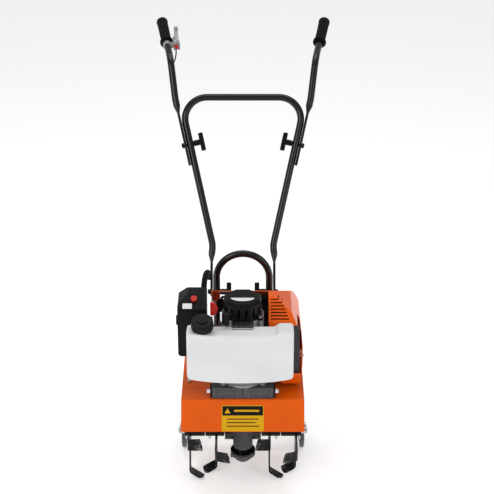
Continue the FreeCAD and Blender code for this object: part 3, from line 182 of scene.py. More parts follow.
class TillerColours(bpy.types.PropertyGroup):
    orange: colour("Orange", "Powder coat of deck and guard", (0.82, 0.112, 0.001))
    shroud: colour("Shroud", "Moulded engine shroud", (0.84, 0.112, 0.001))
    black: colour("Black", "Powder coat of handles and gearbox", (0.004, 0.004, 0.0045))
    casting: colour("Casting", "Blasted aluminium castings", (0.30, 0.31, 0.32))
    zinc: colour("Zinc", "Bright plated steel", (0.62, 0.63, 0.64))
    tank: colour("Tank", "Natural blow-moulded plastic", (0.76, 0.77, 0.775))
    plastic: colour("Plastic", "Textured black plastic", (0.005, 0.005, 0.0055))
    rubber: colour("Rubber", "Grips, boots and hoses", (0.004, 0.004, 0.004))
    # red also colours the plate painted as the shaded left side of the shroud
    red: colour("Red", "Stop and primer buttons", (0.58, 0.02, 0.01))
    plate: colour("Plate", "Field of the guard's plate", (0.74, 0.40, 0.006))
    # shield also colours the dark sheets painted as shade inside the shroud
    shield: colour("Shield", "Heat shield and grey wheels", (0.035, 0.036, 0.038))


class TillerFittings(bpy.types.PropertyGroup):
    badge_half: length("Badge", "Half length of the starter's oval badge", 33 * MM)
    badge_thick: length("Badge thickness", "How far the badge stands up", 1.4 * MM)
    plate_width: length("Plate width", "Guard plate, across", 108 * MM)
    plate_height: length("Plate height", "Guard plate, down the slope", 66 * MM)
    label_width: length("Label", "Blank label on the filter cover", 24 * MM)


class TillerStudio(bpy.types.PropertyGroup):
    distance: length("Distance", "Camera to the point it looks at", 3.6)
    elevation: FloatProperty(name="Elevation", description="Camera above the horizon",
                             default=math.radians(25.0), subtype="ANGLE", unit="ROTATION")
    azimuth: FloatProperty(name="Azimuth", description="Camera round the machine",
                           default=0.0, subtype="ANGLE", unit="ROTATION")
    aim: FloatVectorProperty(name="Aim", description="Point the camera looks at",
                             default=(0.011, -0.0243, 0.5517), subtype="XYZ", unit="LENGTH")
    lens: FloatProperty(name="Lens", description="Focal length in millimetres", default=96.3)
    floor: colour("Floor", "Plain pale floor", (0.93, 0.93, 0.93))


# ---- materials ----------------------------------------------------------------------
def new_material(name):
    """A material with a Principled shader, and a function that adds a node to it."""
    material = bpy.data.materials.new(name)
    material.use_nodes = True
    tree = material.node_tree
    shader = tree.nodes["Principled BSDF"]

    def add(kind, **values):
        node = tree.nodes.new(kind)
        for key, value in values.items():
            if hasattr(node, key):
                setattr(node, key, value)
            else:
                node.inputs[key].default_value = value
        return node
    return material, tree.links.new, shader, add


def surface_point(add):
    """The shaded point in the object's own space."""
    return add("ShaderNodeTexCoord").outputs["Object"]


def noise(add, link, scale, detail=4.0, rough=0.55, stretch=None):
    """Noise in the object's own space; stretch scales that space along each axis."""
    node = add("ShaderNodeTexNoise", Scale=scale, Detail=detail, Roughness=rough)
    point = surface_point(add)
    if stretch:
        mapping = add("ShaderNodeMapping", Scale=stretch)
        link(point, mapping.inputs["Vector"])
        point = mapping.outputs["Vector"]
    link(point, node.inputs["Vector"])
    return node.outputs["Fac"]


def remap(add, link, value, low, high, out_low, out_high):
    """Carries a value from one range over to another."""
    node = add("ShaderNodeMapRange")
    for key, number in (("From Min", low), ("From Max", high), ("To Min", out_low),
                        ("To Max", out_high)):
        node.inputs[key].default_value = number
    link(value, node.inputs["Value"])
    return node.outputs["Result"]


def blend_colours(add, link, factor, first, second):
    """Mixes two colours, each of them fixed or the output of another node."""
    node = add("ShaderNodeMix", data_type="RGBA")
    link(factor, node.inputs["Factor"])
    for socket, tone in ((node.inputs[6], first), (node.inputs[7], second)):
        if isinstance(tone, bpy.types.NodeSocket):
            link(tone, socket)
        else:
            socket.default_value = (*tone, 1.0)
    return node.outputs[2]


def raise_bump(add, link, shader, height, strength, distance, under=None):
    """Bumps the shader's normal by a height, over another normal if one is given."""
    node = add("ShaderNodeBump", Strength=strength, Distance=distance)
    link(height, node.inputs["Height"])
    if under is not None:
        link(under, node.inputs["Normal"])
    link(node.outputs["Normal"], shader.inputs["Normal"])
    return node.outputs["Normal"]


def shade(tone, factor):
    """A darker or lighter version of a colour."""
    return tuple(min(1.0, c * factor) for c in tone)


def soft_edge(add, radius):
    """A normal that rounds sharp edges by that radius, so that they catch the light."""
    return add("ShaderNodeBevel", samples=4, Radius=radius).outputs["Normal"]


def powder_coat(name, tone, roughness, dust, gloss=0.12):
    """Baked powder: orange-peel surface, uneven film and a trace of dust."""
    material, link, shader, add = new_material(name)
    cloud = remap(add, link, noise(add, link, 9.0), 0.3, 0.7, 0, 1)
    base = blend_colours(add, link, cloud, shade(tone, 0.93), shade(tone, 1.06))
    specks = remap(add, link, noise(add, link, 210.0, 8.0, 0.75), 0.66, 0.78, 0, 0.35)
    link(blend_colours(add, link, specks, base, dust), shader.inputs["Base Color"])
    link(remap(add, link, noise(add, link, 26.0), 0.3, 0.7, roughness - 0.06, roughness + 0.08),
         shader.inputs["Roughness"])
    raise_bump(add, link, shader, noise(add, link, 520.0, 2.0), 0.22, 0.0004,
               soft_edge(add, 0.0012))
    shader.inputs["Specular IOR Level"].default_value = 0.2
    shader.inputs["Coat Weight"].default_value = gloss
    shader.inputs["Coat Roughness"].default_value = 0.08
    return material


def moulded(name, tone, roughness, grain, grain_strength, coat=0.0):
    """Injection-moulded plastic with a spark-eroded grain and handling marks."""
    material, link, shader, add = new_material(name)
    cloud = remap(add, link, noise(add, link, 14.0), 0.3, 0.7, 0, 1)
    link(blend_colours(add, link, cloud, shade(tone, 0.9), shade(tone, 1.12)),
         shader.inputs["Base Color"])
    link(remap(add, link, noise(add, link, 60.0), 0.3, 0.7, roughness - 0.07, roughness + 0.09),
         shader.inputs["Roughness"])
    raise_bump(add, link, shader, noise(add, link, grain, 3.0), grain_strength, 0.0004,
               soft_edge(add, 0.0015))
    shader.inputs["Specular IOR Level"].default_value = 0.12
    shader.inputs["Coat Weight"].default_value = coat
    shader.inputs["Coat Roughness"].default_value = 0.12
    return material


def blasted_casting(name, tone, metal=0.85):
    """Die-cast aluminium, shot blasted: speckled and matt, with soft edges."""
    material, link, shader, add = new_material(name)
    speck = remap(add, link, noise(add, link, 420.0, 6.0), 0.35, 0.65, 0, 1)
    link(blend_colours(add, link, speck, shade(tone, 0.8), shade(tone, 1.2)),
         shader.inputs["Base Color"])
    shader.inputs["Metallic"].default_value = metal
    link(remap(add, link, noise(add, link, 40.0), 0.3, 0.7, 0.42, 0.62), shader.inputs["Roughness"])
    fine = raise_bump(add, link, shader, noise(add, link, 900.0, 4.0), 0.35, 0.0004,
                      soft_edge(add, 0.0015))
    raise_bump(add, link, shader, noise(add, link, 60.0, 3.0), 0.12, 0.001, fine)
    return material


def plated_steel(name, tone, roughness, stretch):
    """Turned or plated steel: fine lines one way and small stains."""
    material, link, shader, add = new_material(name)
    lines = remap(add, link, noise(add, link, 300.0, 4.0, 0.6, stretch), 0.3, 0.7, 0, 1)
    base = blend_colours(add, link, lines, shade(tone, 0.82), shade(tone, 1.15))
    stain = remap(add, link, noise(add, link, 35.0, 6.0), 0.55, 0.75, 0, 0.6)
    link(blend_colours(add, link, stain, base, shade(tone, 0.55)), shader.inputs["Base Color"])
    shader.inputs["Metallic"].default_value = 1.0
    link(remap(add, link, lines, 0, 1, roughness - 0.05, roughness + 0.1),
         shader.inputs["Roughness"])
    raise_bump(add, link, shader, lines, 0.08, 0.0003, soft_edge(add, 0.0006))
    return material


def worn_tine(name, tone, axle):
    """Black dip that earth has polished off the outer ends of the blades."""
    material, link, shader, add = new_material(name)
    split = add("ShaderNodeSeparateXYZ")
    link(surface_point(add), split.inputs[0])
    reach = add("ShaderNodeVectorMath", operation="DISTANCE")
    join = add("ShaderNodeCombineXYZ")
    link(split.outputs["Y"], join.inputs["Y"])
    link(split.outputs["Z"], join.inputs["Z"])
    link(join.outputs[0], reach.inputs[0])
    reach.inputs[1].default_value = (0.0, axle.y, axle.z)
    tip = remap(add, link, reach.outputs["Value"], 0.122, 0.131, 0, 0.7)
    patchy = remap(add, link, noise(add, link, 75.0, 8.0, 0.7), 0.5, 0.62, 0, 1)
    bare = add("ShaderNodeMath", operation="MULTIPLY")
    link(tip, bare.inputs[0])
    link(patchy, bare.inputs[1])
    cloud = remap(add, link, noise(add, link, 30.0), 0.3, 0.7, 0, 1)
    paint = blend_colours(add, link, cloud, shade(tone, 0.9), shade(tone, 1.5))
    link(blend_colours(add, link, bare.outputs[0], paint, (0.33, 0.32, 0.30)),
         shader.inputs["Base Color"])
    link(remap(add, link, bare.outputs[0], 0, 1, 0.0, 1.0), shader.inputs["Metallic"])
    link(remap(add, link, patchy, 0, 1, 0.30, 0.46), shader.inputs["Roughness"])
    shader.inputs["Specular IOR Level"].default_value = 0.15
    raise_bump(add, link, shader, noise(add, link, 240.0, 5.0), 0.2, 0.0005,
               soft_edge(add, 0.001))
    return material


def tank_plastic(name, tone):
    """Milky polyethylene: soft depth, faint flow marks, slightly waxy."""
    material, link, shader, add = new_material(name)
    flow = remap(add, link, noise(add, link, 5.0, 3.0, 0.5, (1.0, 1.0, 3.0)), 0.3, 0.7, 0, 1)
    link(blend_colours(add, link, flow, shade(tone, 0.95), shade(tone, 1.03)),
         shader.inputs["Base Color"])
    link(remap(add, link, noise(add, link, 35.0), 0.3, 0.7, 0.30, 0.42), shader.inputs["Roughness"])
    shader.inputs["Subsurface Weight"].default_value = 0.25
    shader.inputs["Subsurface Radius"].default_value = (0.012, 0.011, 0.010)
    shader.inputs["Subsurface Scale"].default_value = 0.5
    fine = raise_bump(add, link, shader, noise(add, link, 260.0, 3.0), 0.08, 0.0004)
    raise_bump(add, link, shader, noise(add, link, 16.0, 2.0), 0.16, 0.002, fine)
    return material


def heat_stained(name):
    """Muffler steel gone from straw to blue-grey where it runs hot."""
    material, link, shader, add = new_material(name)
    heat = add("ShaderNodeValToRGB")
    for place, tone in ((0.0, (0.16, 0.13, 0.10)), (0.45, (0.30, 0.22, 0.13)),
                        (0.7, (0.17, 0.16, 0.20)), (1.0, (0.30, 0.29, 0.28))):
        stop = heat.color_ramp.elements.new(place) if 0 < place < 1 else \
            heat.color_ramp.elements[0 if place == 0 else -1]
        stop.color = (*tone, 1.0)
    link(noise(add, link, 18.0, 5.0), heat.inputs["Fac"])
    link(heat.outputs["Color"], shader.inputs["Base Color"])
    shader.inputs["Metallic"].default_value = 0.9
    link(remap(add, link, noise(add, link, 90.0), 0.3, 0.7, 0.38, 0.6), shader.inputs["Roughness"])
    raise_bump(add, link, shader, noise(add, link, 300.0, 6.0), 0.25, 0.0005)
    return material


def open_foam(name, tone):
    """Reticulated foam: dark cells with paler walls; the darkness in each cell is painted shade, as in a deep pore."""
    material, link, shader, add = new_material(name)
    cells = add("ShaderNodeTexVoronoi", Scale=420.0)
    link(surface_point(add), cells.inputs["Vector"])
    # painted shade: the middle of each cell is darkened like a deep pore, its walls kept paler
    link(blend_colours(add, link, cells.outputs["Distance"], shade(tone, 0.4), shade(tone, 2.0)),
         shader.inputs["Base Color"])
    link(remap(add, link, cells.outputs["Distance"], 0, 1, 0.8, 1.0), shader.inputs["Roughness"])
    raise_bump(add, link, shader, cells.outputs["Distance"], 0.8, 0.001)
    return material


def printed_label(name, tone, roughness=0.32):
    """Printed film: even ink with faint scuffs."""
    material, link, shader, add = new_material(name)
    scuff = remap(add, link, noise(add, link, 110.0, 6.0, 0.7, (1.0, 4.0, 1.0)), 0.6, 0.75, 0, 0.3)
    link(blend_colours(add, link, scuff, tone, shade(tone, 0.75)), shader.inputs["Base Color"])
    link(remap(add, link, scuff, 0, 0.3, roughness, roughness + 0.2), shader.inputs["Roughness"])
    shader.inputs["Specular IOR Level"].default_value = 0.2
    raise_bump(add, link, shader, noise(add, link, 700.0, 2.0), 0.05, 0.0002)
    return material


MADE = {}


def finish_of(kind):
    """The material of one finish, made once from the colours in the panel."""
    if kind in MADE:
        return MADE[kind]
    tone = bpy.context.scene.tiller_colours
    axle = (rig.box("tine_axle")[0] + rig.box("tine_axle")[1]) / 2
    makers = {
        "orange_paint": lambda: powder_coat(kind, tone.orange, 0.34, shade(tone.orange, 0.7)),
        "black_paint": lambda: powder_coat(kind, tone.black, 0.24, (0.03, 0.03, 0.03), 0.4),
        "shield_grey": lambda: powder_coat(kind, tone.shield, 0.42, (0.1, 0.1, 0.1)),
        "grey_wheel": lambda: powder_coat(kind, shade(tone.shield, 2.6), 0.40, (0.4, 0.4, 0.4)),
        "cast_grey": lambda: blasted_casting(kind, tone.casting),
        "cast_dark": lambda: blasted_casting(kind, shade(tone.casting, 0.22), 0.2),
        "machined_steel": lambda: plated_steel(kind, (0.5, 0.5, 0.5), 0.26, (8.0, 1.0, 1.0)),
        "zinc_steel": lambda: plated_steel(kind, tone.zinc, 0.24, (1.0, 1.0, 5.0)),
        "bronze": lambda: plated_steel(kind, (0.55, 0.36, 0.14), 0.3, (1.0, 6.0, 1.0)),
        "tine_steel": lambda: worn_tine(kind, tone.black, axle),
        "tank_plastic": lambda: tank_plastic(kind, tone.tank),
        "black_plastic": lambda: moulded(kind, tone.plastic, 0.36, 480.0, 0.35),
        "orange_plastic": lambda: moulded(kind, tone.shroud, 0.30, 700.0, 0.08, 0.4),
        "red_plastic": lambda: moulded(kind, tone.red, 0.28, 500.0, 0.1, 0.5),
        "rubber": lambda: moulded(kind, tone.rubber, 0.62, 380.0, 0.5),
        "rope": lambda: moulded(kind, (0.03, 0.03, 0.03), 0.75, 900.0, 0.6),
        "muffler_steel": lambda: heat_stained(kind),
        "filter_foam": lambda: open_foam(kind, (0.05, 0.05, 0.05)),
        "plate_yellow": lambda: printed_label(kind, tone.plate),
        "label_black": lambda: printed_label(kind, (0.003, 0.003, 0.003), 0.5),
        "label_white": lambda: printed_label(kind, (0.82, 0.82, 0.80)),
    }
    MADE[kind] = makers[kind]()
    return MADE[kind]


def dress(names, kind=None):
    """Gives CAD pieces the finish of their slot in the record, or the one that is named."""
    slots = {row["node"]: row["material_slot"] for row in frame["record"]["subparts"]}
    for name in names:
        mesh = NODES[name].data
        mesh.materials.clear()
        mesh.materials.append(finish_of(kind or slots[name]))


# ---- pieces that only the looks need --------------------------------------------------
def flat_facing(node, way, spread=0.999):
    """Centre and outward normal of the node's flats that face along way."""
    way = Vector(way).normalized()
    flats = [p for p in NODES[node].data.polygons if p.normal.dot(way) > spread]
    area = sum(p.area for p in flats)
    centre = sum((p.center * p.area for p in flats), Vector()) / area
    return centre, sum((p.normal * p.area for p in flats), Vector()).normalized()


def height_over(node, x, y):
    """Height of the node's upper surface at that place."""
    mesh = NODES[node].data
    tree = BVHTree.FromPolygons([v.co for v in mesh.vertices], [p.vertices for p in mesh.polygons])
    hit = tree.ray_cast(Vector((x, y, 2.0)), Vector((0, 0, -1)))[0]
    return hit.z if hit else 0.0


def facing_frame(centre, normal, across=(1, 0, 0)):
    """A frame on a flat: x across, z outward, y up the slope."""
    across = (Vector(across) - normal * normal.dot(Vector(across))).normalized()
    turn = Matrix((across, normal.cross(across), normal)).transposed().to_4x4()
    return Matrix.Translation(centre) @ turn


def piece(name, form, finishes, body, slot, place=None, bevel=0.0, smooth=True):
    """An object made from a bmesh, with its materials, riding on a CAD body if one is given."""
    bmesh.ops.remove_doubles(form, verts=form.verts, dist=1e-6)
    bmesh.ops.recalc_face_normals(form, faces=form.faces)
    mesh = bpy.data.meshes.new(name)
    form.to_mesh(mesh)
    form.free()
    if place:
        mesh.transform(place)
    for kind in finishes:
        mesh.materials.append(finish_of(kind))
    made = bpy.data.objects.new(name, mesh)
    bpy.context.scene.collection.objects.link(made)
    if smooth:
        mesh.shade_smooth()
    if bevel:
        edge = made.modifiers.new("edge", "BEVEL")
        edge.width = bevel
        edge.segments = 2
        edge.limit_method = "ANGLE"
    if body:
        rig.ride(made, body)
    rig.slot(made, slot)
    return made


def slab(form, corners, low, high, finish=0):
    """Adds a plate with that outline, standing between two heights."""
    under = [form.verts.new((x, y, low)) for x, y in corners]
    over = [form.verts.new((x, y, high)) for x, y in corners]
    faces = [form.faces.new(over), form.faces.new(under[::-1])]
    for i in range(len(corners)):
        j = (i + 1) % len(corners)
        faces.append(form.faces.new((under[i], under[j], over[j], over[i])))
    for face in faces:
        face.material_index = finish


def round_rectangle(width, height, radius, centre=(0.0, 0.0), steps=6):
    """Outline of a rectangle with round corners."""
    corners = []
    for cx, cy, start in ((1, 1, 0), (-1, 1, 90), (-1, -1, 180), (1, -1, 270)):
        for i in range(steps + 1):
            a = math.radians(start + 90 * i / steps)
            corners.append((centre[0] + cx * (width / 2 - radius) + radius * math.cos(a),
                            centre[1] + cy * (height / 2 - radius) + radius * math.sin(a)))
    return corners


def starter_badge():
    """Oval on top of the starter: a raised rim round a field in two halves."""
    low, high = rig.box("starter_cover")
    place = Matrix.Translation(((low.x + high.x) / 2, (low.y + high.y) / 2, high.z))
    size = bpy.context.scene.tiller_fittings
    long = size.badge_half
    wide = long * 21 / 33
    rim = ((1.0, 0.0), (1.0, 0.7), (0.985, 1.0), (0.93, 1.0), (0.91, 0.55))
    count = 64
    form = bmesh.new()
    rings = []
    for share, height in rim:
        rings.append([form.verts.new((long * share * math.cos(math.tau * i / count),
                                      wide * share * math.sin(math.tau * i / count),
                                      size.badge_thick * height)) for i in range(count)])
    for inner, outer in zip(rings[1:], rings):
        for i in range(count):
            j = (i + 1) % count
            form.faces.new((outer[i], outer[j], inner[j], inner[i])).material_index = 2
    field = rings[-1]
    middle = [field[0]] + [form.verts.new((field[i].co.x, 0, field[i].co.z))
                           for i in range(1, count // 2)] + [field[count // 2]]
    for i in range(count // 2):
        for finish, sign in ((0, 1), (1, -1)):
            corners = [field[sign * i], field[sign * (i + 1)], middle[i + 1], middle[i]]
            unique = [c for k, c in enumerate(corners) if c not in corners[:k]]
            form.faces.new(unique).material_index = finish
    return piece("starter_badge", form, ["label_black", "label_white", "black_plastic"],
                 "chassis", "black_plastic", place, smooth=False)


def guard_plate():
    """Plain yellow plate on the guard: black header, an empty triangle and rows of bars."""
    size = bpy.context.scene.tiller_fittings
    centre, normal = flat_facing("front_guard", (0, -0.868, 0.496))
    width, height = size.plate_width, size.plate_height
    thick, border, film = 0.5 * MM, 2 * MM, 0.1 * MM
    ink = (thick, 0.58 * MM, 1)
    print_on = (0.58 * MM, 0.64 * MM, 0)
    form = bmesh.new()
    slab(form, round_rectangle(width, height, 3 * MM), 0.0, thick, 0)

    head = 24 * MM
    head_at = height / 2 - border - head / 2
    slab(form, round_rectangle(width - 2 * border, head, 1.5 * MM, (0, head_at)), *ink)
    tall = 13 * MM
    half = tall * 0.58
    left = -width / 2 + 15 * MM
    slab(form, [(left - half, head_at - tall / 2), (left + half, head_at - tall / 2),
                (left, head_at + tall / 2)], *print_on)
    slab(form, round_rectangle(64 * MM, 5 * MM, 1 * MM, (10 * MM, head_at)), *print_on)

    margin, pitch, bar = 13 * MM, 9 * MM, 2.4 * MM
    for row, share in enumerate((0.92, 0.84, 0.95)):
        long = (width - 20 * MM) * share
        at = (-width / 2 + margin + long / 2, head_at - head / 2 - pitch - row * pitch)
        slab(form, round_rectangle(long, bar, 0.8 * MM, at, 3), *ink)
    place = facing_frame(centre + normal * film, normal) @ Matrix.Translation((0, -5 * MM, 0))
    return piece("guard_plate", form, ["plate_yellow", "label_black"], "chassis",
                 "orange_plastic", place, smooth=False)


def filter_label():
    """Blank white label on the sloping front of the filter cover."""
    width = bpy.context.scene.tiller_fittings.label_width
    tall, corner, thick = 16 * MM, 2 * MM, 0.3 * MM
    aside, down, film = -8 * MM, -12 * MM, 0.1 * MM
    centre, normal = flat_facing("filter_cover", (0, -26, 44), 0.9995)
    form = bmesh.new()
    slab(form, round_rectangle(width, tall, corner), 0.0, thick)
    place = facing_frame(centre, normal) @ Matrix.Translation((aside, down, film))
    return piece("filter_label", form, ["label_white"], "chassis", "black_plastic", place,
                 smooth=False)


def box_form(form, low, high, finish=0):
    """Adds a block between two corners."""
    corners = [(low[0], low[1]), (high[0], low[1]), (high[0], high[1]), (low[0], high[1])]
    slab(form, corners, low[2], high[2], finish)


def blown_tank():
    """Blow-moulded tank: soft corners, stepped bands down its front and two humps on top."""
    low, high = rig.box("fuel_tank")
    wide, deep = high.x - low.x, high.y - low.y
    # shares of the width, the height and the depth where the skin has an edge
    bands = (0.0, 0.055, 0.12, 0.235, 0.25, 0.375, 0.39, 0.65, 0.665, 0.775, 0.79, 0.83, 0.86,
             0.90, 0.945, 1.0)
    levels = (0.0, 0.10, 0.2, 0.5, 0.82, 0.91, 1.0)
    depths = (0.0, 0.15, 0.3, 0.48, 0.5, 0.52, 0.7, 0.85, 1.0)
    # how many steps the front stands out, by share of the width
    raised = {0.25: 1, 0.375: 1, 0.39: 2, 0.65: 2, 0.665: 1, 0.775: 1}
    step, sink = 1.3 * MM, 2.6 * MM
    seam_side, seam_top = 1.2 * MM, 0.6 * MM
    left_hump, rocker = 5 * MM, 13 * MM
    form = bmesh.new()

    middle = (low.y + high.y) / 2
    shoulder = height_over("fuel_tank", 0.0, middle)
    hump = height_over("fuel_tank", high.x - 25 * MM, middle)

    def top(u):
        return hump if u > 0.84 else shoulder + (left_hump if u < 0.16 else 0.0)

    def bottom(u):
        return low.z + rocker * abs(2 * u - 1) ** 2.5

    def spot(u, v, w):
        x = low.x + wide * u
        y = low.y + deep * w
        z = bottom(u) + (top(u) - bottom(u)) * v
        if w == 0 and 0 < v < 1:
            y -= step * raised.get(u, 0) - sink
        if w == 0.5:
            x -= seam_side if u == 0 else 0.0
            z += seam_top if v == 1 else 0.0
        return form.verts.new((x, y, z))

    made = {}

    def vertex(u, v, w):
        if (u, v, w) not in made:
            made[u, v, w] = spot(u, v, w)
        return made[u, v, w]

    def patch(first, second, place):
        for a, b in zip(first, first[1:]):
            for c, d in zip(second, second[1:]):
                corners = ((a, c), (b, c), (b, d), (a, d))
                form.faces.new([vertex(*place(*pair)) for pair in corners])

    for end in (0.0, 1.0):
        patch(bands, levels, lambda a, b, e=end: (a, b, e))
        patch(bands, depths, lambda a, b, e=end: (a, e, b))
        patch(levels, depths, lambda a, b, e=end: (e, a, b))
    tank = piece("tank_shell", form, ["tank_plastic"], "chassis", "tank_plastic")
    rounding = tank.modifiers.new("rounding", "SUBSURF")
    rounding.levels = rounding.render_levels = 3
    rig.replaces(tank, "fuel_tank")
    return tank


def base_faces():
    """Machined faces that close the base block's two front pockets, and its end pads."""
    low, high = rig.box("engine_base")
    middle = (low.x + high.x) / 2
    pocket, rim = (20.3 * MM, 67.7 * MM), 7.3 * MM
    pad, inset, pad_deep = (80.1 * MM, 83.5 * MM), 2 * MM, 28 * MM
    form = bmesh.new()
    for side in (-1, 1):
        left, right = sorted(middle + side * x for x in pocket)
        box_form(form, (left, low.y + 0.3 * MM, low.z + rim), (right, low.y + 5 * MM, high.z - rim))
        left, right = sorted(middle + side * x for x in pad)
        box_form(form, (left, low.y + inset, low.z + inset),
                 (right, low.y + pad_deep, high.z - inset), 1)
    return piece("base_faces", form, ["cast_dark", "rubber"], "chassis", "cast_grey",
                 bevel=0.8 * MM, smooth=False)


def gearbox_jacket():
    """Ribbed casting round the front of the gearbox column.

    It is a solid block, so inside the column it overlaps the worm, the front of the worm wheel
    and the front edge of the axle, which all turn.
    """
    start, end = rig.box("worm_shaft")
    low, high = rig.box("gearbox_housing")
    centre = (start + end) / 2
    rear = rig.box("tine_pins")[0].y - 3 * MM
    ribs, groove, crest = 18, 24.4 * MM, 26.0 * MM
    above_foot, under_head = 17 * MM, 2.5 * MM
    outline = []
    for i in range(ribs):
        for share, reach in ((0.0, groove), (0.5, groove), (0.58, crest), (0.92, crest)):
            a = math.tau * ((i + share) / ribs + 0.25)
            x = centre.x + reach * math.cos(a)
            y = centre.y + reach * math.sin(a)
            if y < rear:
                outline.append((x, y))
    form = bmesh.new()
    slab(form, outline, low.z + above_foot, high.z - under_head)
    return piece("gearbox_jacket", form, ["cast_dark"], "chassis", "black_paint",
                 bevel=0.5 * MM, smooth=False)


def starter_rope():
    """Rope that pays out of the starter as its handle is pulled."""
    pull = next(j for j in frame["record"]["behaviour"]["joints"] if j["name"] == "starter_pull")
    way = Vector(pull["axis"]).normalized()
    points = [v.co for v in NODES["starter_handle"].data.vertices]
    least = min(p.dot(way) for p in points)
    stub = [p for p in points if p.dot(way) < least + 0.1 * MM]
    start = sum(stub, Vector()) / len(stub)
    radius, long = 1.8 * MM, 10 * MM
    sides, rings = 12, 40
    form = bmesh.new()
    rows = []
    for k in range(rings + 1):
        rows.append([form.verts.new((radius * math.cos(math.tau * i / sides),
                                     radius * math.sin(math.tau * i / sides),
                                     long * k / rings)) for i in range(sides)])
    for under, over in zip(rows, rows[1:]):
        for i in range(sides):
            j = (i + 1) % sides
            form.faces.new((under[i], under[j], over[j], over[i]))
    form.faces.new(rows[0][::-1])
    form.faces.new(rows[-1])
    place = Matrix.Translation(start) @ way.to_track_quat("Z", "Y").to_matrix().to_4x4()
    rope = piece("starter_rope", form, ["rope"], None, "black_plastic", place)
    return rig.blend(rope, "chassis", "pull_handle", start=start + way * MM,
                    end=start + way * (long - MM))


def deck_seam():
    """Raised lip where the guard's sheet meets the deck, either side of the engine base."""
    low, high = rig.box("deck_top")
    _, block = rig.box("engine_base")
    front, rear = low.y - 0.4 * MM, low.y + 1.6 * MM
    form = bmesh.new()
    for side in (-1, 1):
        left, right = sorted(side * x for x in (block.x + 4 * MM, high.x))
        box_form(form, (left, front, high.z - 0.1 * MM), (right, rear, high.z + 0.9 * MM))
    return piece("deck_seam", form, ["orange_paint"], "chassis", "orange_paint", bevel=0.3 * MM,
                 smooth=False)


def shroud_shade_sheets():
    """Three flat dark sheets over the muffler and behind it, inside the shroud: painted shade that stands in for the
    shade inside the shroud.
    """
    low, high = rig.box("muffler")
    sheet, under_roof = 1.2 * MM, 8 * MM
    left, right = low.x - 20 * MM, high.x - 8 * MM
    shelf, wall, rear = high.z + 4 * MM, high.y - 30 * MM, high.y + 28 * MM
    form = bmesh.new()
    for y, foot, inner in ((wall, shelf, left), (rear, low.z, 18 * MM)):
        roof = min(height_over("engine_shroud", x, y) for x in (inner, right)) - under_roof
        box_form(form, (inner, y, foot), (right, y + sheet, roof))
    box_form(form, (left, low.y - 6 * MM, shelf), (right, wall, shelf + sheet))
    return piece("shroud_shade_sheets", form, ["shield_grey"], "chassis", "shield_grey", smooth=False)


def hood_side_shade_plate():
    """Small dark red D-shaped plate between the filter and the starter: painted shade that stands in for the shroud's
    left side in shadow.
    """
    low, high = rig.box("engine_shroud")
    corner = Vector((low.x - 1 * MM, low.y - 8 * MM, high.z - 30 * MM))
    stem, reach, half, thick = 5 * MM, 15 * MM, 18 * MM, 6 * MM
    steps = 12
    outline = [(0, 0), (0, 2 * half)]
    for i in range(steps + 1):
        a = math.radians(90 - 180 * i / steps)
        outline.append((stem + reach * math.cos(a), half + half * math.sin(a)))
    form = bmesh.new()
    slab(form, outline, 0.0, thick)
    place = Matrix.Translation(corner) @ Matrix.Rotation(math.radians(90), 4, "X")
    return piece("hood_side_shade_plate", form, ["red_plastic"], "chassis", "red_plastic", place,
                 bevel=1.5 * MM, smooth=False)


# ---- the studio -----------------------------------------------------------------------
def soft_light(name, place, aim, size, power):
    """An area light at a place, turned towards a point."""
    data = bpy.data.lights.new(name, "AREA")
    data.shape = "RECTANGLE"
    data.size, data.size_y = size
    data.energy = power
    lamp = bpy.data.objects.new(name, data)
    lamp.location = place
    lamp.rotation_euler = (Vector(aim) - Vector(place)).to_track_quat("-Z", "Y").to_euler()
    bpy.context.scene.collection.objects.link(lamp)
    return lamp


def studio_camera(set_up):
    """Camera that looks at the aim from the panel's distance and angles."""
    up, round_by = set_up.elevation, set_up.azimuth
    away = Vector((math.sin(round_by) * math.cos(up), -math.cos(round_by) * math.cos(up),
                   math.sin(up)))
    data = bpy.data.cameras.new("camera")
    data.lens = set_up.lens
    data.sensor_width = 36.0
    camera = bpy.data.objects.new("camera", data)
    camera.location = Vector(set_up.aim) + away * set_up.distance
    camera.rotation_euler = (-away).to_track_quat("-Z", "Y").to_euler()
    bpy.context.scene.collection.objects.link(camera)
    bpy.context.scene.camera = camera


def studio_floor(set_up):
    """Pale round floor that gives off a little light of its own."""
    material, link, shader, add = new_material("studio_floor")
    tone = remap(add, link, noise(add, link, 3.0), 0.3, 0.7, 0, 1)
    link(blend_colours(add, link, tone, shade(set_up.floor, 0.995), set_up.floor),
         shader.inputs["Base Color"])
    shader.inputs["Roughness"].default_value = 0.85
    shader.inputs["Emission Color"].default_value = (1.0, 1.0, 1.0, 1.0)
    shader.inputs["Emission Strength"].default_value = 0.4
    form = bmesh.new()
    bmesh.ops.create_circle(form, cap_ends=True, segments=96, radius=14.0)
    mesh = bpy.data.meshes.new("studio_floor")
    form.to_mesh(mesh)
    form.free()
    mesh.materials.append(material)
    floor = bpy.data.objects.new("studio_floor", mesh)
    bpy.context.scene.collection.objects.link(floor)
    return floor


def studio_world():
    """Even white light from all round."""
    world = bpy.data.worlds.new("studio")
    world.use_nodes = True
    back = world.node_tree.nodes["Background"]
    back.inputs["Color"].default_value = (1.0, 1.0, 1.0, 1.0)
    back.inputs["Strength"].default_value = 0.46
    bpy.context.scene.world = world
    bpy.context.scene.view_settings.view_transform = "Standard"


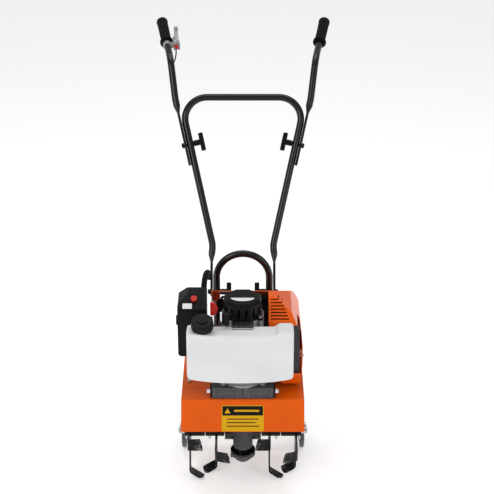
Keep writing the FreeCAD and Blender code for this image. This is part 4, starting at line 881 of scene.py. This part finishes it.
def studio():
    """Camera, floor, world and three soft lights."""
    set_up = bpy.context.scene.tiller_studio
    studio_camera(set_up)
    floor = studio_floor(set_up)
    studio_world()
    aim = (0, 0, 0.4)
    lamps = [soft_light("key", (-2.2, -2.6, 3.0), aim, (1.8, 1.8), 42),
             soft_light("fill", (2.6, -2.2, 1.8), aim, (1.6, 2.2), 18),
             soft_light("top", (0.0, 0.6, 3.2), aim, (2.6, 1.6), 26)]
    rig.stage(floor, *lamps)


# ---- operators, panel and registration --------------------------------------------------
def run_step(operator, work):
    """Does one step; a mistake stops the script instead of being passed over."""
    try:
        work()
    except Exception as problem:
        operator.report({"ERROR"}, str(problem))
        raise
    return {"FINISHED"}


class TILLER_OT_drive(bpy.types.Operator):
    """Finish the gearbox, axle and tines"""
    bl_idname = "tiller.drive"
    bl_label = "Gearbox and tines"

    def execute(self, context):
        def work():
            dress(["gearbox_housing", "ball_bearings", "axle_seals", "tine_axle", "tine_pins",
                   "tines_left", "tines_right", "worm_shaft", "worm_wheel"])
            dress(["gearbox_bottom_cap"], "cast_dark")
            gearbox_jacket()
        return run_step(self, work)


class TILLER_OT_deck(bpy.types.Operator):
    """Finish the deck, guard, stake and wheels, and fix the guard's plate"""
    bl_idname = "tiller.deck"
    bl_label = "Deck and wheels"

    def execute(self, context):
        def work():
            dress(["deck_top", "front_guard", "drag_stake", "stake_knob", "fasteners",
                   "wheel_axle", "wheel_bracket", "wheel_left", "wheel_right"])
            dress(["engine_base"], "cast_dark")
            guard_plate()
            base_faces()
            deck_seam()
        return run_step(self, work)


class TILLER_OT_engine(bpy.types.Operator):
    """Finish the engine under its shroud"""
    bl_idname = "tiller.engine"
    bl_label = "Engine"

    def execute(self, context):
        def work():
            dress([
                "crankcase", "cylinder", "clutch_housing", "clutch_drum", "clutch_shoes",
                "crankshaft", "flywheel", "fan_housing", "ignition_coil", "spark_plug",
                "plug_lead", "carburettor", "muffler", "heat_shield", "engine_shroud"])
            # dark sheets painted as the shade inside the shroud, over and behind the muffler
            shroud_shade_sheets()
            # dark red plate painted as the shade on the shroud's left side
            hood_side_shade_plate()
        return run_step(self, work)


class TILLER_OT_starter(bpy.types.Operator):
    """Finish the recoil starter and add its badge"""
    bl_idname = "tiller.starter"
    bl_label = "Starter"

    def execute(self, context):
        def work():
            dress(["starter_cover", "starter_handle", "starter_pulley"])
            starter_badge()
            starter_rope()
        return run_step(self, work)


class TILLER_OT_fuel(bpy.types.Operator):
    """Finish the fuel tank, its cap and its bracket"""
    bl_idname = "tiller.fuel"
    bl_label = "Fuel tank"

    def execute(self, context):
        def work():
            dress(["fuel_tank", "fuel_cap", "tank_bracket"])
            blown_tank()
        return run_step(self, work)


class TILLER_OT_air(bpy.types.Operator):
    """Finish the air filter and add its blank label"""
    bl_idname = "tiller.air"
    bl_label = "Air filter"

    def execute(self, context):
        def work():
            dress(["filter_base", "filter_cover", "filter_element", "primer_button"])
            filter_label()
        return run_step(self, work)


class TILLER_OT_handles(bpy.types.Operator):
    """Finish the hoop, handles, knobs and grips"""
    bl_idname = "tiller.handles"
    bl_label = "Handles"

    def execute(self, context):
        return run_step(self, lambda: dress([
            "carry_hoop", "handle_frame", "upper_bar_left", "upper_bar_right",
            "upper_knob_left", "upper_knob_right", "lower_knob_left", "lower_knob_right",
            "grip_left", "grip_right"]))


class TILLER_OT_controls(bpy.types.Operator):
    """Finish the throttle, its cable and the stop button"""
    bl_idname = "tiller.controls"
    bl_label = "Controls"

    def execute(self, context):
        return run_step(self, lambda: dress([
            "throttle_housing", "throttle_lever", "throttle_cable", "cable_sleeve",
            "stop_button"]))


class TILLER_OT_studio(bpy.types.Operator):
    """Set up the floor, the lights and the camera"""
    bl_idname = "tiller.studio"
    bl_label = "Studio"

    def execute(self, context):
        return run_step(self, studio)


STEPS = (TILLER_OT_studio, TILLER_OT_drive, TILLER_OT_deck, TILLER_OT_engine,
         TILLER_OT_starter, TILLER_OT_fuel, TILLER_OT_air, TILLER_OT_handles,
         TILLER_OT_controls)


class TILLER_PT_panel(bpy.types.Panel):
    """Sizes, colours and the steps that build the tiller's looks"""
    bl_label = "Mini Tiller"
    bl_idname = "TILLER_PT_panel"
    bl_space_type = "VIEW_3D"
    bl_region_type = "UI"
    bl_category = "Tiller"

    def draw(self, context):
        layout = self.layout
        for group in (context.scene.tiller_colours, context.scene.tiller_fittings,
                      context.scene.tiller_studio):
            column = layout.column(align=True)
            for name in group.bl_rna.properties.keys():
                if name not in ("rna_type", "name"):
                    column.prop(group, name)
        for step in STEPS:
            layout.operator(step.bl_idname)


CLASSES = (TillerColours, TillerFittings, TillerStudio, *STEPS, TILLER_PT_panel)


def register():
    for kind in CLASSES:
        bpy.utils.register_class(kind)
    bpy.types.Scene.tiller_colours = PointerProperty(type=TillerColours)
    bpy.types.Scene.tiller_fittings = PointerProperty(type=TillerFittings)
    bpy.types.Scene.tiller_studio = PointerProperty(type=TillerStudio)


def unregister():
    del bpy.types.Scene.tiller_studio
    del bpy.types.Scene.tiller_fittings
    del bpy.types.Scene.tiller_colours
    for kind in reversed(CLASSES):
        bpy.utils.unregister_class(kind)


def main():
    register()
    for step in STEPS:
        group, name = step.bl_idname.split(".")
        getattr(getattr(bpy.ops, group), name)()
    with open("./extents.json", "w") as sheet:
        json.dump({"cad": CAD_BOX, "visual": [list(corner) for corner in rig.bounds()]}, sheet)


if __name__ == "__main__":
    main()
